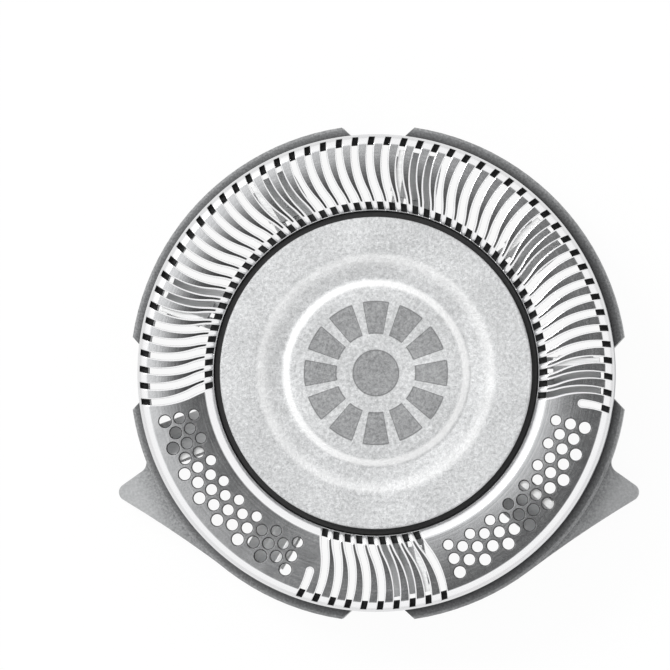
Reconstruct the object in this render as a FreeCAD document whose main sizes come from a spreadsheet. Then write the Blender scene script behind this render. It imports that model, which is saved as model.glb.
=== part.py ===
# Rotary shaver head: a slotted steel guard with its centre cover and winged collar, and the
# nine-blade cutter with lifters and drive coupling that turns inside it.
# Millimetres and degrees. The origin is on the axis, in the plane of the collar's underside.
# +Z points to the skin, +X to the right wing, and the wings lie on the -Y side.
import FreeCAD, Part
import math
import os
import re
import Sketcher

doc = FreeCAD.newDocument("rotary_shaver_head")
sheet = doc.addObject("Spreadsheet::Sheet", "Sizes")

driving_sizes = [
    # The guard
    ("guard_radius", 12.0, "outer radius of the guard's skirt"),
    ("guard_height", 5.1, "skirt's lower edge to the shaving track"),
    ("guard_wall", 0.54, "thickness of the skirt"),
    ("recess_radius", 8.14, "radius of the recess that holds the centre pieces"),
    ("recess_depth", 1.7, "track to the recess floor"),
    ("inner_wall", 0.48, "thickness of the wall between recess and channel"),
    ("floor_thickness", 0.45, "thickness of the recess floor"),
    ("track_thickness", 0.15, "thickness of the shaving track"),
    ("shoulder_radius", 0.44, "rounding of the track's outer and inner shoulders"),
    ("shoulder_break_angle", 35.0, "angle on the rounding where a shoulder's two flats meet"),
    ("outer_facet_turn", 0.2, "angle from a slot's radial line to the outer facets' corners"),
    ("inner_facet_turn", -2.6, "angle from a slot's radial line to the inner facets' corners"),
    ("seat_depth", 0.22, "how far the skirt is drawn in where the collar sits"),
    ("seat_gap", 0.05, "gap between the collar's top and the step above it"),
    # The curved slots
    ("slot_width", 0.30, "width of a slot"),
    ("slot_outer_land", 0.08, "guard's edge to where the slot's outline ends outside"),
    ("slot_inner_land", 0.06, "recess edge to where the slot's outline ends inside"),
    ("hole_cutter_depth", 0.50, "how far the holes' outlines reach below the track's face"),
    ("slot_outer_bend", 4.40, "bend radius of a slot's outer stretch"),
    ("slot_inner_bend", 3.60, "bend radius of a slot's inner stretch"),
    ("slot_crest_inset", 1.20, "guard's edge to the crest of the outer bend"),
    ("slot_crest_offset", 0.118, "crest's sideways offset from the slot's radial line"),
    ("slot_turn_inset", 1.06, "recess edge to the point where the bend turns over"),
    ("slot_pitch", 4.0, "angle between slots"),
    ("slot_first_angle", -5.0, "angle of the first full slot"),
    ("upper_arc", 192.0, "angle from the first to the last slot of the long field"),
    ("lower_arc", 32.0, "angle from the first to the last slot of the short field"),
    ("short_slot_length", 1.54, "length of the two short slots"),
    ("outer_bend_count", 3, "straight stretches that make up a slot's outer bend"),
    ("inner_bend_count", 2, "straight stretches that make up a slot's inner bend"),
    # The fields of round holes
    ("field_turn", 100.0, "angle between the two fields of holes"),
    ("hole_first_angle", -14.7, "angle of the first hole in the right field"),
    ("hole_arc", 52.36, "angle from the first to the last hole of a row"),
    ("hole_pitch", 7.48, "angle between holes of one row"),
    ("hole_row_count", 5, "number of rows of holes"),
    ("hole_row_inset", 1.14, "guard's edge to the outermost row"),
    ("hole_row_distance", 0.373, "distance between rows"),
    ("hole_diameter", 0.60, "diameter of the outermost holes"),
    ("hole_diameter_drop", 0.0225, "how much smaller the holes of each further row are"),
    ("hole_side_count", 8, "flat sides that make up a hole's wall"),
    # The centre hub
    ("hub_clearance", 0.03, "radial clearance of the hub in the recess"),
    ("hub_plate", 0.45, "thickness of the hub's plate"),
    ("hub_rim_width", 0.86, "width of the hub's rim"),
    ("hub_rim_drop", 0.58, "track to the top of the hub's rim"),
    ("boss_radius", 2.2, "radius of the bearing boss"),
    ("boss_clearance", 0.05, "radial clearance of the boss in the guard's floor"),
    ("boss_length", 0.25, "how far the boss stands below the floor"),
    ("spigot_radius", 1.15, "radius of the turning spigot"),
    ("running_clearance", 0.05, "radial clearance of the spigot in its bearing"),
    ("bearing_cap", 0.2, "material above the bearing's blind end"),
    ("leg_radius", 6.15, "axis to the inner face of a snap leg"),
    ("leg_thickness", 0.5, "radial thickness of a snap leg"),
    ("leg_width", 1.2, "width of a snap leg"),
    ("leg_hook", 0.25, "how far a snap leg's hook reaches outwards"),
    ("leg_hook_height", 0.27, "height of a snap leg's hook"),
    ("leg_play", 0.04, "gap between the hook and the floor's underside"),
    ("leg_count", 3, "number of snap legs"),
    # The centre cover
    ("cover_gap", 0.30, "open ring between cover and guard"),
    ("cover_drop", 0.12, "track to the top of the cover"),
    ("cover_edge_width", 0.12, "bevel of the cover's edge"),
    ("cover_land_width", 1.96, "width of the cover's flat outer land"),
    ("cover_slope_width", 1.08, "width of the slope inside the land"),
    ("cover_valley_depth", 0.45, "depth of the valley below the land"),
    ("cover_step_width", 0.48, "width of the step up to the centre"),
    ("cover_step_height", 0.25, "height of the centre above the valley"),
    ("plug_clearance", 0.05, "radial clearance of the cover's plug in the hub's rim"),
    ("plug_depth", 0.35, "how far the plug reaches into the rim"),
    # The collar
    ("ledge_height", 0.9, "base plane to the ledge that carries the guard"),
    ("collar_wall", 0.73, "thickness of the collar's sleeve"),
    ("collar_clearance", 0.02, "radial clearance of the guard in the collar"),
    ("collar_height", 2.6, "base plane to the collar's top"),
    ("collar_edge_width", 0.14, "bevel of the collar's top edge"),
    ("gap_count", 4, "number of gaps in the collar"),
    ("gap_inner_angle", 5.5, "half angle of a gap at the guard"),
    ("gap_slant", 42.0, "slant of a gap's sides"),
    ("wing_reach", 2.78, "guard's edge to a wing's corner before rounding"),
    ("wing_corner_angle", -24.1, "angle of the right wing's corner"),
    ("wing_upper_slant", -35.4, "direction of a wing's upper edge"),
    ("wing_lower_bend", 60.0, "hollow bend of a wing's lower edge"),
    ("wing_tip_rounding", 0.44, "rounding of a wing's tip"),
    ("wing_root_rounding", 0.55, "rounding in the corner above a wing"),
    ("wing_bottom", 0.45, "base plane to a wing's underside"),
    ("wing_thickness", 1.35, "thickness of a wing"),
    # The cutter
    ("cutter_thickness", 0.40, "thickness of the cutter's sheet"),
    ("cutter_radius", 8.1, "radius of the cutter's disc"),
    ("cutter_drop", 0.60, "recess floor's underside to the cutter's disc"),
    ("tip_clearance", 0.05, "blade tips to the track's underside"),
    ("blade_count", 9, "number of blades"),
    ("blade_inner_gap", 0.28, "channel's inner wall to the blades"),
    ("blade_outer_gap", 0.21, "skirt to the blades"),
    ("blade_lean", 17.0, "forward lean of a blade's front face"),
    ("blade_foot", 0.55, "thickness of a blade at its foot"),
    ("blade_tip", 0.42, "thickness of a blade at its tip"),
    ("arm_width", 1.35, "width of a blade's arm"),
    ("arm_overlap", 0.6, "how far an arm reaches into the disc"),
    # The lifter ring
    ("lifter_thickness", 0.15, "thickness of the lifter sheet"),
    ("lifter_inner_radius", 3.4, "inner radius of the lifter ring"),
    ("lifter_radius", 6.9, "outer radius of the lifter ring"),
    ("lifter_gap", 0.06, "gap between a lifter finger and its blade"),
    ("lifter_drop", 0.35, "blade tip to the finger's tip"),
    ("lifter_arm_width", 0.75, "width of a lifter arm"),
    ("finger_inner_inset", 0.25, "blade's inner end to the finger"),
    ("finger_outer_inset", 0.35, "blade's outer end to the finger"),
    # The drive coupling
    ("coupling_lift", 0.30, "base plane to the coupling's underside"),
    ("hub_radius", 2.9, "radius of the coupling's hub"),
    ("flange_radius", 5.8, "radius of the coupling's flange"),
    ("flange_thickness", 0.60, "thickness of the coupling's flange"),
    ("rib_count", 3, "number of ribs below the flange"),
    ("rib_width", 0.8, "width of a rib"),
    ("rib_height", 1.0, "height of a rib below the flange"),
    ("rib_inset", 0.3, "flange's edge to a rib's end"),
    ("socket_radius", 1.6, "radius of the drive socket"),
    ("socket_depth", 1.8, "depth of the drive socket"),
    ("key_width", 1.0, "width of the socket's key slot"),
    ("key_length", 4.4, "length of the socket's key slot"),
    ("key_depth", 1.3, "depth of the socket's key slot"),
    ("socket_lead_in", 0.2, "lead-in chamfer of the socket"),
    ("spigot_end_gap", 0.10, "spigot's end to the bearing's blind end"),
    ("spigot_lead_in", 0.2, "chamfer of the spigot's end"),
    ("stud_radius", 0.48, "radius of a rivet stud"),
    ("stud_clearance", 0.03, "radial clearance of a stud in its holes"),
    ("stud_count", 3, "number of studs"),
    ("stud_circle", 4.6, "axis to the studs"),
    ("stud_head_radius", 0.72, "radius of a stud's staked head"),
    ("stud_head_height", 0.10, "height of a stud's staked head"),
]

for row, (name, size, meaning) in enumerate(driving_sizes, start=1):
    sheet.set(f"A{row}", name)
    sheet.set(f"B{row}", str(size))
    sheet.setAlias(f"B{row}", name)
    sheet.set(f"C{row}", meaning)
doc.recompute()
size_names = {name for name, _, _ in driving_sizes}


# Work out an expression of the sheet's sizes as a number.
def value(expression):
    number = sheet.evalExpression(str(expression))
    return float(getattr(number, "Value", number))


# Put the sheet's name before each size in a short formula.
def size(formula):
    def with_sheet(match):
        word = match.group()
        return f"Sizes.{word}" if word in size_names else word

    return "(" + re.sub(r"[a-z_]+", with_sheet, formula) + ")"


# Levels and radii that several pieces share
guard_bottom = size("ledge_height")
track_top = size("ledge_height + guard_height")
track_underside = size("ledge_height + guard_height - track_thickness")
channel_inner = size("recess_radius + inner_wall")
channel_outer = size("guard_radius - guard_wall")
floor_top = size("ledge_height + guard_height - recess_depth")
floor_underside = f"({floor_top} - {size('floor_thickness')})"
hub_plate_top = f"({floor_top} + {size('hub_plate')})"
hub_rim_top = f"({track_top} - {size('hub_rim_drop')})"
hub_outer = size("recess_radius - hub_clearance")
hub_rim_inner = f"({hub_outer} - {size('hub_rim_width')})"
bearing_end = f"({hub_plate_top} - {size('bearing_cap')})"
disc_top = f"({floor_underside} - {size('cutter_drop')})"
disc_underside = f"({disc_top} - {size('cutter_thickness')})"
lifter_top = f"({disc_top} + {size('lifter_thickness')})"
blade_top = f"({track_underside} - {size('tip_clearance')})"
blade_inner = f"({channel_inner} + {size('blade_inner_gap')})"
blade_outer = f"({channel_outer} - {size('blade_outer_gap')})"
skirt_seat = size("guard_radius - seat_depth")
sleeve_inner = size("guard_radius - seat_depth + collar_clearance")
sleeve_outer = size("guard_radius - seat_depth + collar_clearance + collar_wall")


# A body with its own label, which also names its file.
def new_body(label):
    body = doc.addObject("PartDesign::Body", label)
    body.Label = label
    return body


def origin_feature(body, role):
    return next(feature for feature in body.Origin.OriginFeatures if feature.Role == role)


# A sketch on one of the body's origin planes, lifted along the plane's normal and turned in it.
def new_sketch(body, name, role, lift="0", turn="0"):
    sketch = body.newObject("Sketcher::SketchObject", name)
    sketch.AttachmentSupport = [(origin_feature(body, role), "")]
    sketch.MapMode = "FlatFace"
    sketch.AttachmentOffset = FreeCAD.Placement(
        FreeCAD.Vector(0, 0, value(lift)), FreeCAD.Rotation(FreeCAD.Vector(0, 0, 1), value(turn)))
    sketch.setExpression("AttachmentOffset.Base.z", lift)
    sketch.setExpression("AttachmentOffset.Rotation.Angle", turn)
    return sketch


# Add a constraint whose value follows an expression.
def drive(sketch, kind, *geometry, by):
    index = sketch.addConstraint(Sketcher.Constraint(kind, *geometry, value(by)))
    sketch.setExpression(f"Constraints[{index}]", by)


# Hold a curve's end (1 start, 2 end, 3 centre) at a place given by two expressions.
def pin(sketch, curve, end, across, up):
    drive(sketch, "DistanceX", -1, 1, curve, end, by=across)
    drive(sketch, "DistanceY", -1, 1, curve, end, by=up)


# Draw a closed outline through corners. Bends give, for the edge that leaves a corner, the
# radius of an arc in place of a straight line: positive bulges to the right of the way drawn.
def draw_outline(sketch, corners, bends=None):
    bends = bends or {}
    points = [FreeCAD.Vector(value(across), value(up), 0) for across, up in corners]
    ends = []
    for index, start in enumerate(points):
        finish = points[(index + 1) % len(points)]
        if index not in bends:
            curve = sketch.addGeometry(Part.LineSegment(start, finish), False)
            ends.append((curve, 1, 2))
            continue
        radius, side = bends[index]
        chord = finish - start
        right = FreeCAD.Vector(chord.y, -chord.x, 0).normalize() * side
        reach = value(radius)
        rise = reach - math.sqrt(reach ** 2 - chord.Length ** 2 / 4)
        middle = (start + finish) / 2 + right * rise
        # A sketch holds arcs counter-clockwise only
        if side > 0:
            curve = sketch.addGeometry(Part.Arc(start, middle, finish), False)
            ends.append((curve, 1, 2))
        else:
            curve = sketch.addGeometry(Part.Arc(finish, middle, start), False)
            ends.append((curve, 2, 1))
        drive(sketch, "Radius", curve, by=radius)
    for index, (curve, _, finish) in enumerate(ends):
        following, start, _ = ends[(index + 1) % len(ends)]
        sketch.addConstraint(Sketcher.Constraint("Coincident", curve, finish, following, start))
    for (curve, start, _), (across, up) in zip(ends, corners):
        pin(sketch, curve, start, across, up)


# Draw a circle round a place given by two expressions.
def draw_circle(sketch, across, up, radius):
    centre = FreeCAD.Vector(value(across), value(up), 0)
    circle = Part.Circle(centre, FreeCAD.Vector(0, 0, 1), value(radius))
    curve = sketch.addGeometry(circle, False)
    pin(sketch, curve, 3, across, up)
    drive(sketch, "Radius", curve, by=radius)


# Draw a rectangle between two opposite corners.
def draw_rectangle(sketch, left, low, right, high):
    draw_outline(sketch, [(left, low), (right, low), (right, high), (left, high)])


# Turn a profile (radius across, height up) once round the axis.
def revolve(body, name, corners):
    sketch = new_sketch(body, name + "_profile", "XZ_Plane")
    draw_outline(sketch, corners)
    feature = body.newObject("PartDesign::Revolution", name)
    feature.Profile = sketch
    feature.ReferenceAxis = (origin_feature(body, "Z_Axis"), [""])
    feature.Angle = 360
    doc.recompute()
    return feature


# Pad a sketch along its normal.
def pad(body, name, sketch, length):
    feature = body.newObject("PartDesign::Pad", name)
    feature.Profile = sketch
    feature.setExpression("Length", length)
    doc.recompute()
    return feature


# Pocket a sketch to a depth, downwards from its plane or upwards, and see that it cuts.
def pocket(body, name, sketch, depth, upwards=False):
    before = body.Shape.Volume
    feature = body.newObject("PartDesign::Pocket", name)
    feature.Profile = sketch
    feature.setExpression("Length", depth)
    feature.Reversed = upwards
    doc.recompute()
    if body.Shape.Volume >= before:
        raise RuntimeError(f"{name} cuts nothing")
    return feature


# Repeat features round the axis, over an angle or once round.
def repeat(body, name, originals, count, angle="360"):
    pattern = body.newObject("PartDesign::PolarPattern", name)
    pattern.Originals = originals
    pattern.Axis = (origin_feature(body, "Z_Axis"), [""])
    pattern.setExpression("Angle", angle)
    pattern.setExpression("Occurrences", count)
    body.Tip = pattern
    doc.recompute()
    return pattern


# Names of the round edges of a radius at a height.
def round_edges(shape, radius, height):
    names = []
    for index, edge in enumerate(shape.Edges, start=1):
        curve = edge.Curve
        if not isinstance(curve, Part.Circle):
            continue
        same_radius = abs(curve.Radius - value(radius)) < 1e-4
        same_height = abs(curve.Center.z - value(height)) < 1e-4
        if same_radius and same_height:
            names.append(f"Edge{index}")
    return names


# Round edges of the body's last feature.
def soften(body, name, edges, radius):
    base = body.Tip
    feature = body.newObject("PartDesign::Fillet", name)
    feature.Base = (base, edges)
    feature.setExpression("Radius", radius)
    doc.recompute()
    return feature


# Bevel edges of the body's last feature at 45 degrees.
def bevel(body, name, edges, width):
    base = body.Tip
    feature = body.newObject("PartDesign::Chamfer", name)
    feature.Base = (base, edges)
    feature.setExpression("Size", width)
    doc.recompute()
    return feature


# The guard: a drawn cup with a thin track between two shoulders, a channel below the track,
# and a recessed floor for the centre pieces.
def make_guard():
    body = new_body("guard_blank")
    bore = size("boss_radius + boss_clearance")
    step = size("collar_height + seat_gap")
    revolve(body, "drawn_cup", [
        (skirt_seat, guard_bottom),
        (skirt_seat, step),
        (size("guard_radius"), step),
        (size("guard_radius"), track_top),
        (size("recess_radius"), track_top),
        (size("recess_radius"), floor_top),
        (bore, floor_top),
        (bore, guard_bottom),
    ])
    windows = new_sketch(body, "leg_window", "XY_Plane", floor_top)
    half_width = size("leg_width / 2 + leg_play")
    draw_rectangle(windows, size("leg_radius - leg_play"), "-" + half_width,
                   size("leg_radius + leg_thickness + leg_hook + leg_play"), half_width)
    window = pocket(body, "leg_windows_cut", windows, size("floor_thickness * 2"))
    repeat(body, "leg_windows", [window], size("leg_count"))

    forming = doc.addObject("Part::Feature", "channel_and_shoulders")
    forming.Shape = Part.makeCompound([channel_tool()] + shoulder_tools())
    cup = cut_from(body, forming, "guard_cup")
    perforation = doc.addObject("Part::Feature", "perforation")
    perforation.Shape = Part.makeCompound(slot_cutters() + hole_cutters())
    return cut_from(cup, perforation, "guard")


# Cut a tool from a base as an object of its own.
def cut_from(base, tool, label):
    result = doc.addObject("Part::Cut", label)
    result.Base = base
    result.Tool = tool
    result.Label = label
    doc.recompute()
    return result


# Corners of an even polygon about the axis, whose sides touch a circle. It has one side for each
# step of the slots, and its corners lie inside the slots.
def facet_corners(radius, height, turn):
    count = round(360 / value(size("slot_pitch")))
    first = math.radians(value(size("slot_first_angle")) + turn)
    reach = radius / math.cos(math.pi / count)
    corners = []
    for index in range(count):
        angle = first + 2 * math.pi * index / count
        corners.append(FreeCAD.Vector(reach * math.cos(angle), reach * math.sin(angle), height))
    return corners


# An upright many-sided block about the axis between two heights.
def faceted_block(radius, low, high, turn):
    corners = facet_corners(radius, low, turn)
    face = Part.Face(Part.makePolygon(corners + corners[:1]))
    return face.extrude(FreeCAD.Vector(0, 0, high - low))


# A many-sided ring about the axis with a profile of (radius, height).
def faceted_ring(profile, turn):
    rings = [facet_corners(radius, height, turn) for radius, height in profile]
    faces = []
    for ring, following in zip(rings, rings[1:] + rings[:1]):
        for index in range(len(ring)):
            beside = (index + 1) % len(ring)
            corners = [ring[index], following[index], following[beside], ring[beside]]
            faces.append(Part.Face(Part.makePolygon(corners + corners[:1])))
    solid = Part.Solid(Part.Shell(faces))
    if solid.Volume < 0:
        solid.reverse()
    return solid


# The space inside the skirt and under the track and the floor.
def channel_tool():
    below = value(guard_bottom) - value(size("floor_thickness"))
    ceiling = value(track_underside)
    space = faceted_block(value(channel_outer), below, ceiling, value(size("outer_facet_turn")))
    core = faceted_block(value(channel_inner), value(floor_underside), value(track_top),
                         value(size("inner_facet_turn")))
    return space.cut(core)


# What is taken off outside the two shoulders. Each shoulder is two flats that meet at a point of
# its rounding.
def shoulder_tools():
    rounding = value(size("shoulder_radius"))
    top = value(track_top)
    break_in = value(size("shoulder_radius * (1 - cos(shoulder_break_angle))"))
    break_down = value(size("shoulder_radius * (1 - sin(shoulder_break_angle))"))
    tools = []
    for edge, inwards, turn in (("guard_radius", -1, "outer_facet_turn"),
                                ("recess_radius", 1, "inner_facet_turn")):
        radius = value(size(edge))
        flat_edge = radius + inwards * rounding
        break_point = radius + inwards * break_in
        # The lower flat is carried on past the wall
        past = radius - inwards * break_in / 2
        past_height = top - rounding - (rounding - break_down) / 2
        clear = radius - inwards * rounding
        profile = [(flat_edge, top), (break_point, top - break_down), (past, past_height),
                   (clear, past_height), (clear, top + rounding), (flat_edge, top + rounding)]
        tools.append(faceted_ring(profile, value(size(turn))))
    return tools


# Copies of a solid turned round the axis to a list of angles.
def turned(solid, angles):
    axis = FreeCAD.Vector(0, 0, 1)
    return [solid.copy().rotate(FreeCAD.Vector(), axis, angle) for angle in angles]


# A flat closed outline, raised from a level below the track's face to as far above it.
def cutter_solid(corners, depth):
    face = Part.Face(Part.makePolygon(corners + corners[:1]))
    face.translate(FreeCAD.Vector(0, 0, value(track_top) - depth))
    return face.extrude(FreeCAD.Vector(0, 0, 2 * depth))


# The centre line of a slot, with the radial line along X: an outer bend whose crest stands
# beside the radial line, then an inner bend that turns the other way from a common tangent.
# The walls are straight stretches between points of these bends, half a width to each side. A
# slot is as deep as the track is thick, so it opens into the channel and runs out on the shoulders.
def slot_outline(full):
    half = value(size("slot_width")) / 2
    outer_bend = value(size("slot_outer_bend"))
    inner_bend = value(size("slot_inner_bend"))
    outer_end = value(size("guard_radius - slot_outer_land"))
    inner_end = value(size("recess_radius + slot_inner_land"))
    crest = value(size("guard_radius - slot_crest_inset"))
    turn = value(size("recess_radius + slot_turn_inset"))
    outer_steps = int(value(size("outer_bend_count")))
    inner_steps = int(value(size("inner_bend_count")))
    outer_centre = FreeCAD.Vector(crest, value(size("slot_crest_offset")) - outer_bend, 0)
    lean = math.asin((crest - turn) / outer_bend)
    to_turn = FreeCAD.Vector(-math.sin(lean), math.cos(lean), 0)
    inner_centre = outer_centre + to_turn * (outer_bend + inner_bend)

    def on_outer(across, side):
        rise = math.sqrt((outer_bend + side * half) ** 2 - (across - outer_centre.x) ** 2)
        return FreeCAD.Vector(across, outer_centre.y + rise, 0)

    def on_inner(across, side):
        drop = math.sqrt((inner_bend - side * half) ** 2 - (across - inner_centre.x) ** 2)
        return FreeCAD.Vector(across, inner_centre.y - drop, 0)

    # Points at even steps from one distance along the slot to another
    def stretches(place, side, first, last, steps):
        return [place(first + (last - first) * step / steps, side) for step in range(steps + 1)]

    def wall(side):
        if not full:
            round_start = outer_end - value(size("short_slot_length")) + half
            return stretches(on_outer, side, outer_end, round_start, outer_steps - 1)
        turning_point = outer_centre + to_turn * (outer_bend + side * half)
        outer = stretches(on_outer, side, outer_end, turning_point.x, outer_steps)
        inner = stretches(on_inner, side, turning_point.x, inner_end, inner_steps)
        return outer + inner[1:]

    left, right = wall(1), wall(-1)
    if full:
        return left + right[::-1]
    # The short slot ends in half an octagon
    across = (left[-1] - right[-1]) / 2
    along = FreeCAD.Vector(across.y, -across.x, 0)
    middle = (left[-1] + right[-1]) / 2
    bend = math.sqrt(0.5)
    tip = [middle + across * bend - along * bend, middle - along,
           middle - across * bend - along * bend]
    return left + tip + right[::-1]


# Two fields of full slots and a short slot behind each of them.
def slot_cutters():
    first = value(size("slot_first_angle"))
    pitch = value(size("slot_pitch"))
    field_turn = value(size("field_turn"))
    angles = []
    for start, arc in ((first, value(size("upper_arc"))),
                       (first - field_turn, value(size("lower_arc")))):
        steps = round(arc / pitch)
        angles += [start + arc * step / steps for step in range(steps + 1)]
    short_angles = [first - pitch, first - pitch - field_turn]
    depth = value(size("track_thickness"))
    full_slots = turned(cutter_solid(slot_outline(full=True), depth), angles)
    short_slots = turned(cutter_solid(slot_outline(full=False), depth), short_angles)
    return full_slots + short_slots


# Two fields of round holes in staggered rows. Each further row has smaller holes.
def hole_cutters():
    steps = round(value(size("hole_arc")) / value(size("hole_pitch")))
    pitch = value(size("hole_arc")) / steps
    depth = value(size("hole_cutter_depth"))
    sides = int(value(size("hole_side_count")))
    side_angle = 2 * math.pi / sides
    # The many-sided hole is as large as the round one
    to_corner = math.sqrt(side_angle / math.sin(side_angle))
    cutters = []
    for row in range(int(value(size("hole_row_count")))):
        across = value(size("guard_radius - hole_row_inset")) - row * value(size("hole_row_distance"))
        radius = (value(size("hole_diameter")) - row * value(size("hole_diameter_drop"))) / 2
        reach = radius * to_corner
        staggered = row % 2
        corners = []
        for side in range(sides):
            turn = side_angle * side
            corners.append(FreeCAD.Vector(across + reach * math.cos(turn), reach * math.sin(turn), 0))
        cutter = cutter_solid(corners, depth)
        for field in (0, value(size("field_turn"))):
            first = value(size("hole_first_angle")) - field - staggered * pitch / 2
            count = steps + 1 - staggered
            cutters += turned(cutter, [first - pitch * step for step in range(count)])
    return cutters


# The black hub: a plate with a rim that carries the cover, a bearing boss for the cutter's
# spigot, and snap legs through the guard's floor.
def make_centre_hub():
    body = new_body("centre_hub")
    bearing = size("spigot_radius + running_clearance")
    boss_bottom = f"({floor_underside} - {size('boss_length')})"
    revolve(body, "plate", [
        ("0", bearing_end),
        (bearing, bearing_end),
        (bearing, boss_bottom),
        (size("boss_radius"), boss_bottom),
        (size("boss_radius"), floor_top),
        (hub_outer, floor_top),
        (hub_outer, hub_rim_top),
        (hub_rim_inner, hub_rim_top),
        (hub_rim_inner, hub_plate_top),
        ("0", hub_plate_top),
    ])
    half_width = size("leg_width / 2")
    leg_outer = size("leg_radius + leg_thickness")
    hook_outer = size("leg_radius + leg_thickness + leg_hook")
    hook_top = f"({floor_underside} - {size('leg_play')})"
    hook_bottom = f"({hook_top} - {size('leg_hook_height')})"
    inside_plate = f"({floor_top} + {size('hub_plate / 2')})"
    legs = new_sketch(body, "leg_side", "XZ_Plane", "-" + half_width)
    draw_outline(legs, [
        (size("leg_radius"), inside_plate),
        (size("leg_radius"), hook_bottom),
        (leg_outer, hook_bottom),
        (hook_outer, f"({hook_bottom} + {size('leg_hook_height / 2')})"),
        (hook_outer, hook_top),
        (leg_outer, hook_top),
        (leg_outer, inside_plate),
    ])
    leg = pad(body, "leg", legs, size("leg_width"))
    repeat(body, "legs", [leg], size("leg_count"))
    return body


# The cover: a flat land, a slope into a shallow valley and a raised centre, with a plug that
# fits the hub's rim.
def make_centre_cover():
    body = new_body("centre_cover")
    top = f"({track_top} - {size('cover_drop')})"
    valley = f"({top} - {size('cover_valley_depth')})"
    outer = size("recess_radius - cover_gap")
    land_inner = size("recess_radius - cover_gap - cover_land_width")
    valley_outer = size("recess_radius - cover_gap - cover_land_width - cover_slope_width")
    step_foot = f"({valley_outer} - {size('cover_edge_width')})"
    step_top = f"({step_foot} - {size('cover_step_width')})"
    plug_outer = f"({hub_rim_inner} - {size('plug_clearance')})"
    plug_bottom = f"({hub_rim_top} - {size('plug_depth')})"
    revolve(body, "shell", [
        ("0", f"({valley} + {size('cover_step_height')})"),
        ("0", plug_bottom),
        (plug_outer, plug_bottom),
        (plug_outer, hub_rim_top),
        (outer, hub_rim_top),
        (outer, top),
        (land_inner, top),
        (valley_outer, valley),
        (step_foot, valley),
        (step_top, f"({valley} + {size('cover_step_height')})"),
    ])
    edge = round_edges(body.Shape, outer, top)
    bevel(body, "edge_bevel", edge, size("cover_edge_width"))
    return body


# The collar: a ring with a ledge under the guard and a sleeve round it, four slanted gaps in
# the sleeve, and two side wings.
def make_collar():
    body = new_body("collar")
    revolve(body, "ring", [
        (channel_outer, "0"),
        (sleeve_outer, "0"),
        (sleeve_outer, size("collar_height")),
        (size("guard_radius + collar_clearance"), size("collar_height")),
        (sleeve_inner, size("collar_height - seat_depth")),
        (sleeve_inner, size("ledge_height")),
        (channel_outer, size("ledge_height")),
    ])
    edge = round_edges(body.Shape, sleeve_outer, size("collar_height"))
    bevel(body, "top_bevel", edge, size("collar_edge_width"))

    gap = new_sketch(body, "gap_sketch", "XY_Plane", size("collar_height"))
    beyond = size("collar_wall * 2")
    near = f"({sleeve_inner} * cos({size('gap_inner_angle')}))"
    near_side = f"({sleeve_inner} * sin({size('gap_inner_angle')}))"
    far = f"({near} + {beyond})"
    far_side = f"({near_side} + {beyond} * tan({size('gap_slant')} + {size('gap_inner_angle')}))"
    draw_outline(gap, [
        (near, f"(-{near_side})"),
        (far, f"(-{far_side})"),
        (far, far_side),
        (near, near_side),
    ], {3: (sleeve_inner, -1)})
    cut = pocket(body, "gap", gap, size("collar_height"))
    repeat(body, "gaps", [cut], size("gap_count"))
    add_wings(body)
    return body


# A wing is bounded by a slanted upper edge and a long hollow lower edge that meets the ring at
# a tangent. It is drawn on the right and mirrored to the left.
def add_wings(body):
    corner_across = size("(guard_radius + wing_reach) * cos(wing_corner_angle)")
    corner_up = size("(guard_radius + wing_reach) * sin(wing_corner_angle)")
    inside = size("guard_radius - seat_depth + collar_clearance + collar_wall * 2 / 3")
    # The upper edge runs inwards from the corner until it is inside the ring
    corner_along = size("(guard_radius + wing_reach) * cos(wing_corner_angle - wing_upper_slant)")
    corner_reach = size("guard_radius + wing_reach")
    upper_length = f"({corner_along} - sqrt({corner_along}^2 - {corner_reach}^2 + {inside}^2))"
    root_across = f"({corner_across} - {upper_length} * cos({size('wing_upper_slant')}))"
    root_up = f"({corner_up} - {upper_length} * sin({size('wing_upper_slant')}))"
    # The lower edge's bend touches the ring where the three centres make a known triangle
    bend = size("wing_lower_bend")
    apart = f"({sleeve_outer} + {bend})"
    swing = f"acos(({apart}^2 + {corner_reach}^2 - {bend}^2) / (2 * {apart} * {corner_reach}))"
    foot_angle = f"({size('wing_corner_angle')} * 1 deg - {swing})"
    sketch = new_sketch(body, "wing_sketch", "XY_Plane", size("wing_bottom"))
    draw_outline(sketch, [
        (corner_across, corner_up),
        (root_across, root_up),
        (f"{inside} * cos({foot_angle})", f"{inside} * sin({foot_angle})"),
        (f"{sleeve_outer} * cos({foot_angle})", f"{sleeve_outer} * sin({foot_angle})"),
    ], {1: (inside, -1), 3: (bend, -1)})
    wing = pad(body, "wing", sketch, size("wing_thickness"))
    mirrored = body.newObject("PartDesign::Mirrored", "left_wing")
    mirrored.Originals = [wing]
    mirrored.MirrorPlane = (origin_feature(body, "YZ_Plane"), [""])
    body.Tip = mirrored
    doc.recompute()
    corner = FreeCAD.Vector(value(corner_across), value(corner_up), 0)
    tips = upright_edges(body.Shape, [corner, FreeCAD.Vector(-corner.x, corner.y, 0)])
    soften(body, "wing_tips", tips, size("wing_tip_rounding"))
    roots = wing_root_edges(body.Shape)
    soften(body, "wing_roots", roots, size("wing_root_rounding"))


# Names of the upright edges that stand at the given places.
def upright_edges(shape, places):
    names = []
    for index, edge in enumerate(shape.Edges, start=1):
        ends = [vertex.Point for vertex in edge.Vertexes]
        if len(ends) != 2 or abs(ends[0].z - ends[1].z) < 1e-3:
            continue
        for place in places:
            if math.hypot(ends[0].x - place.x, ends[0].y - place.y) < 1e-3:
                names.append(f"Edge{index}")
    return names


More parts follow.
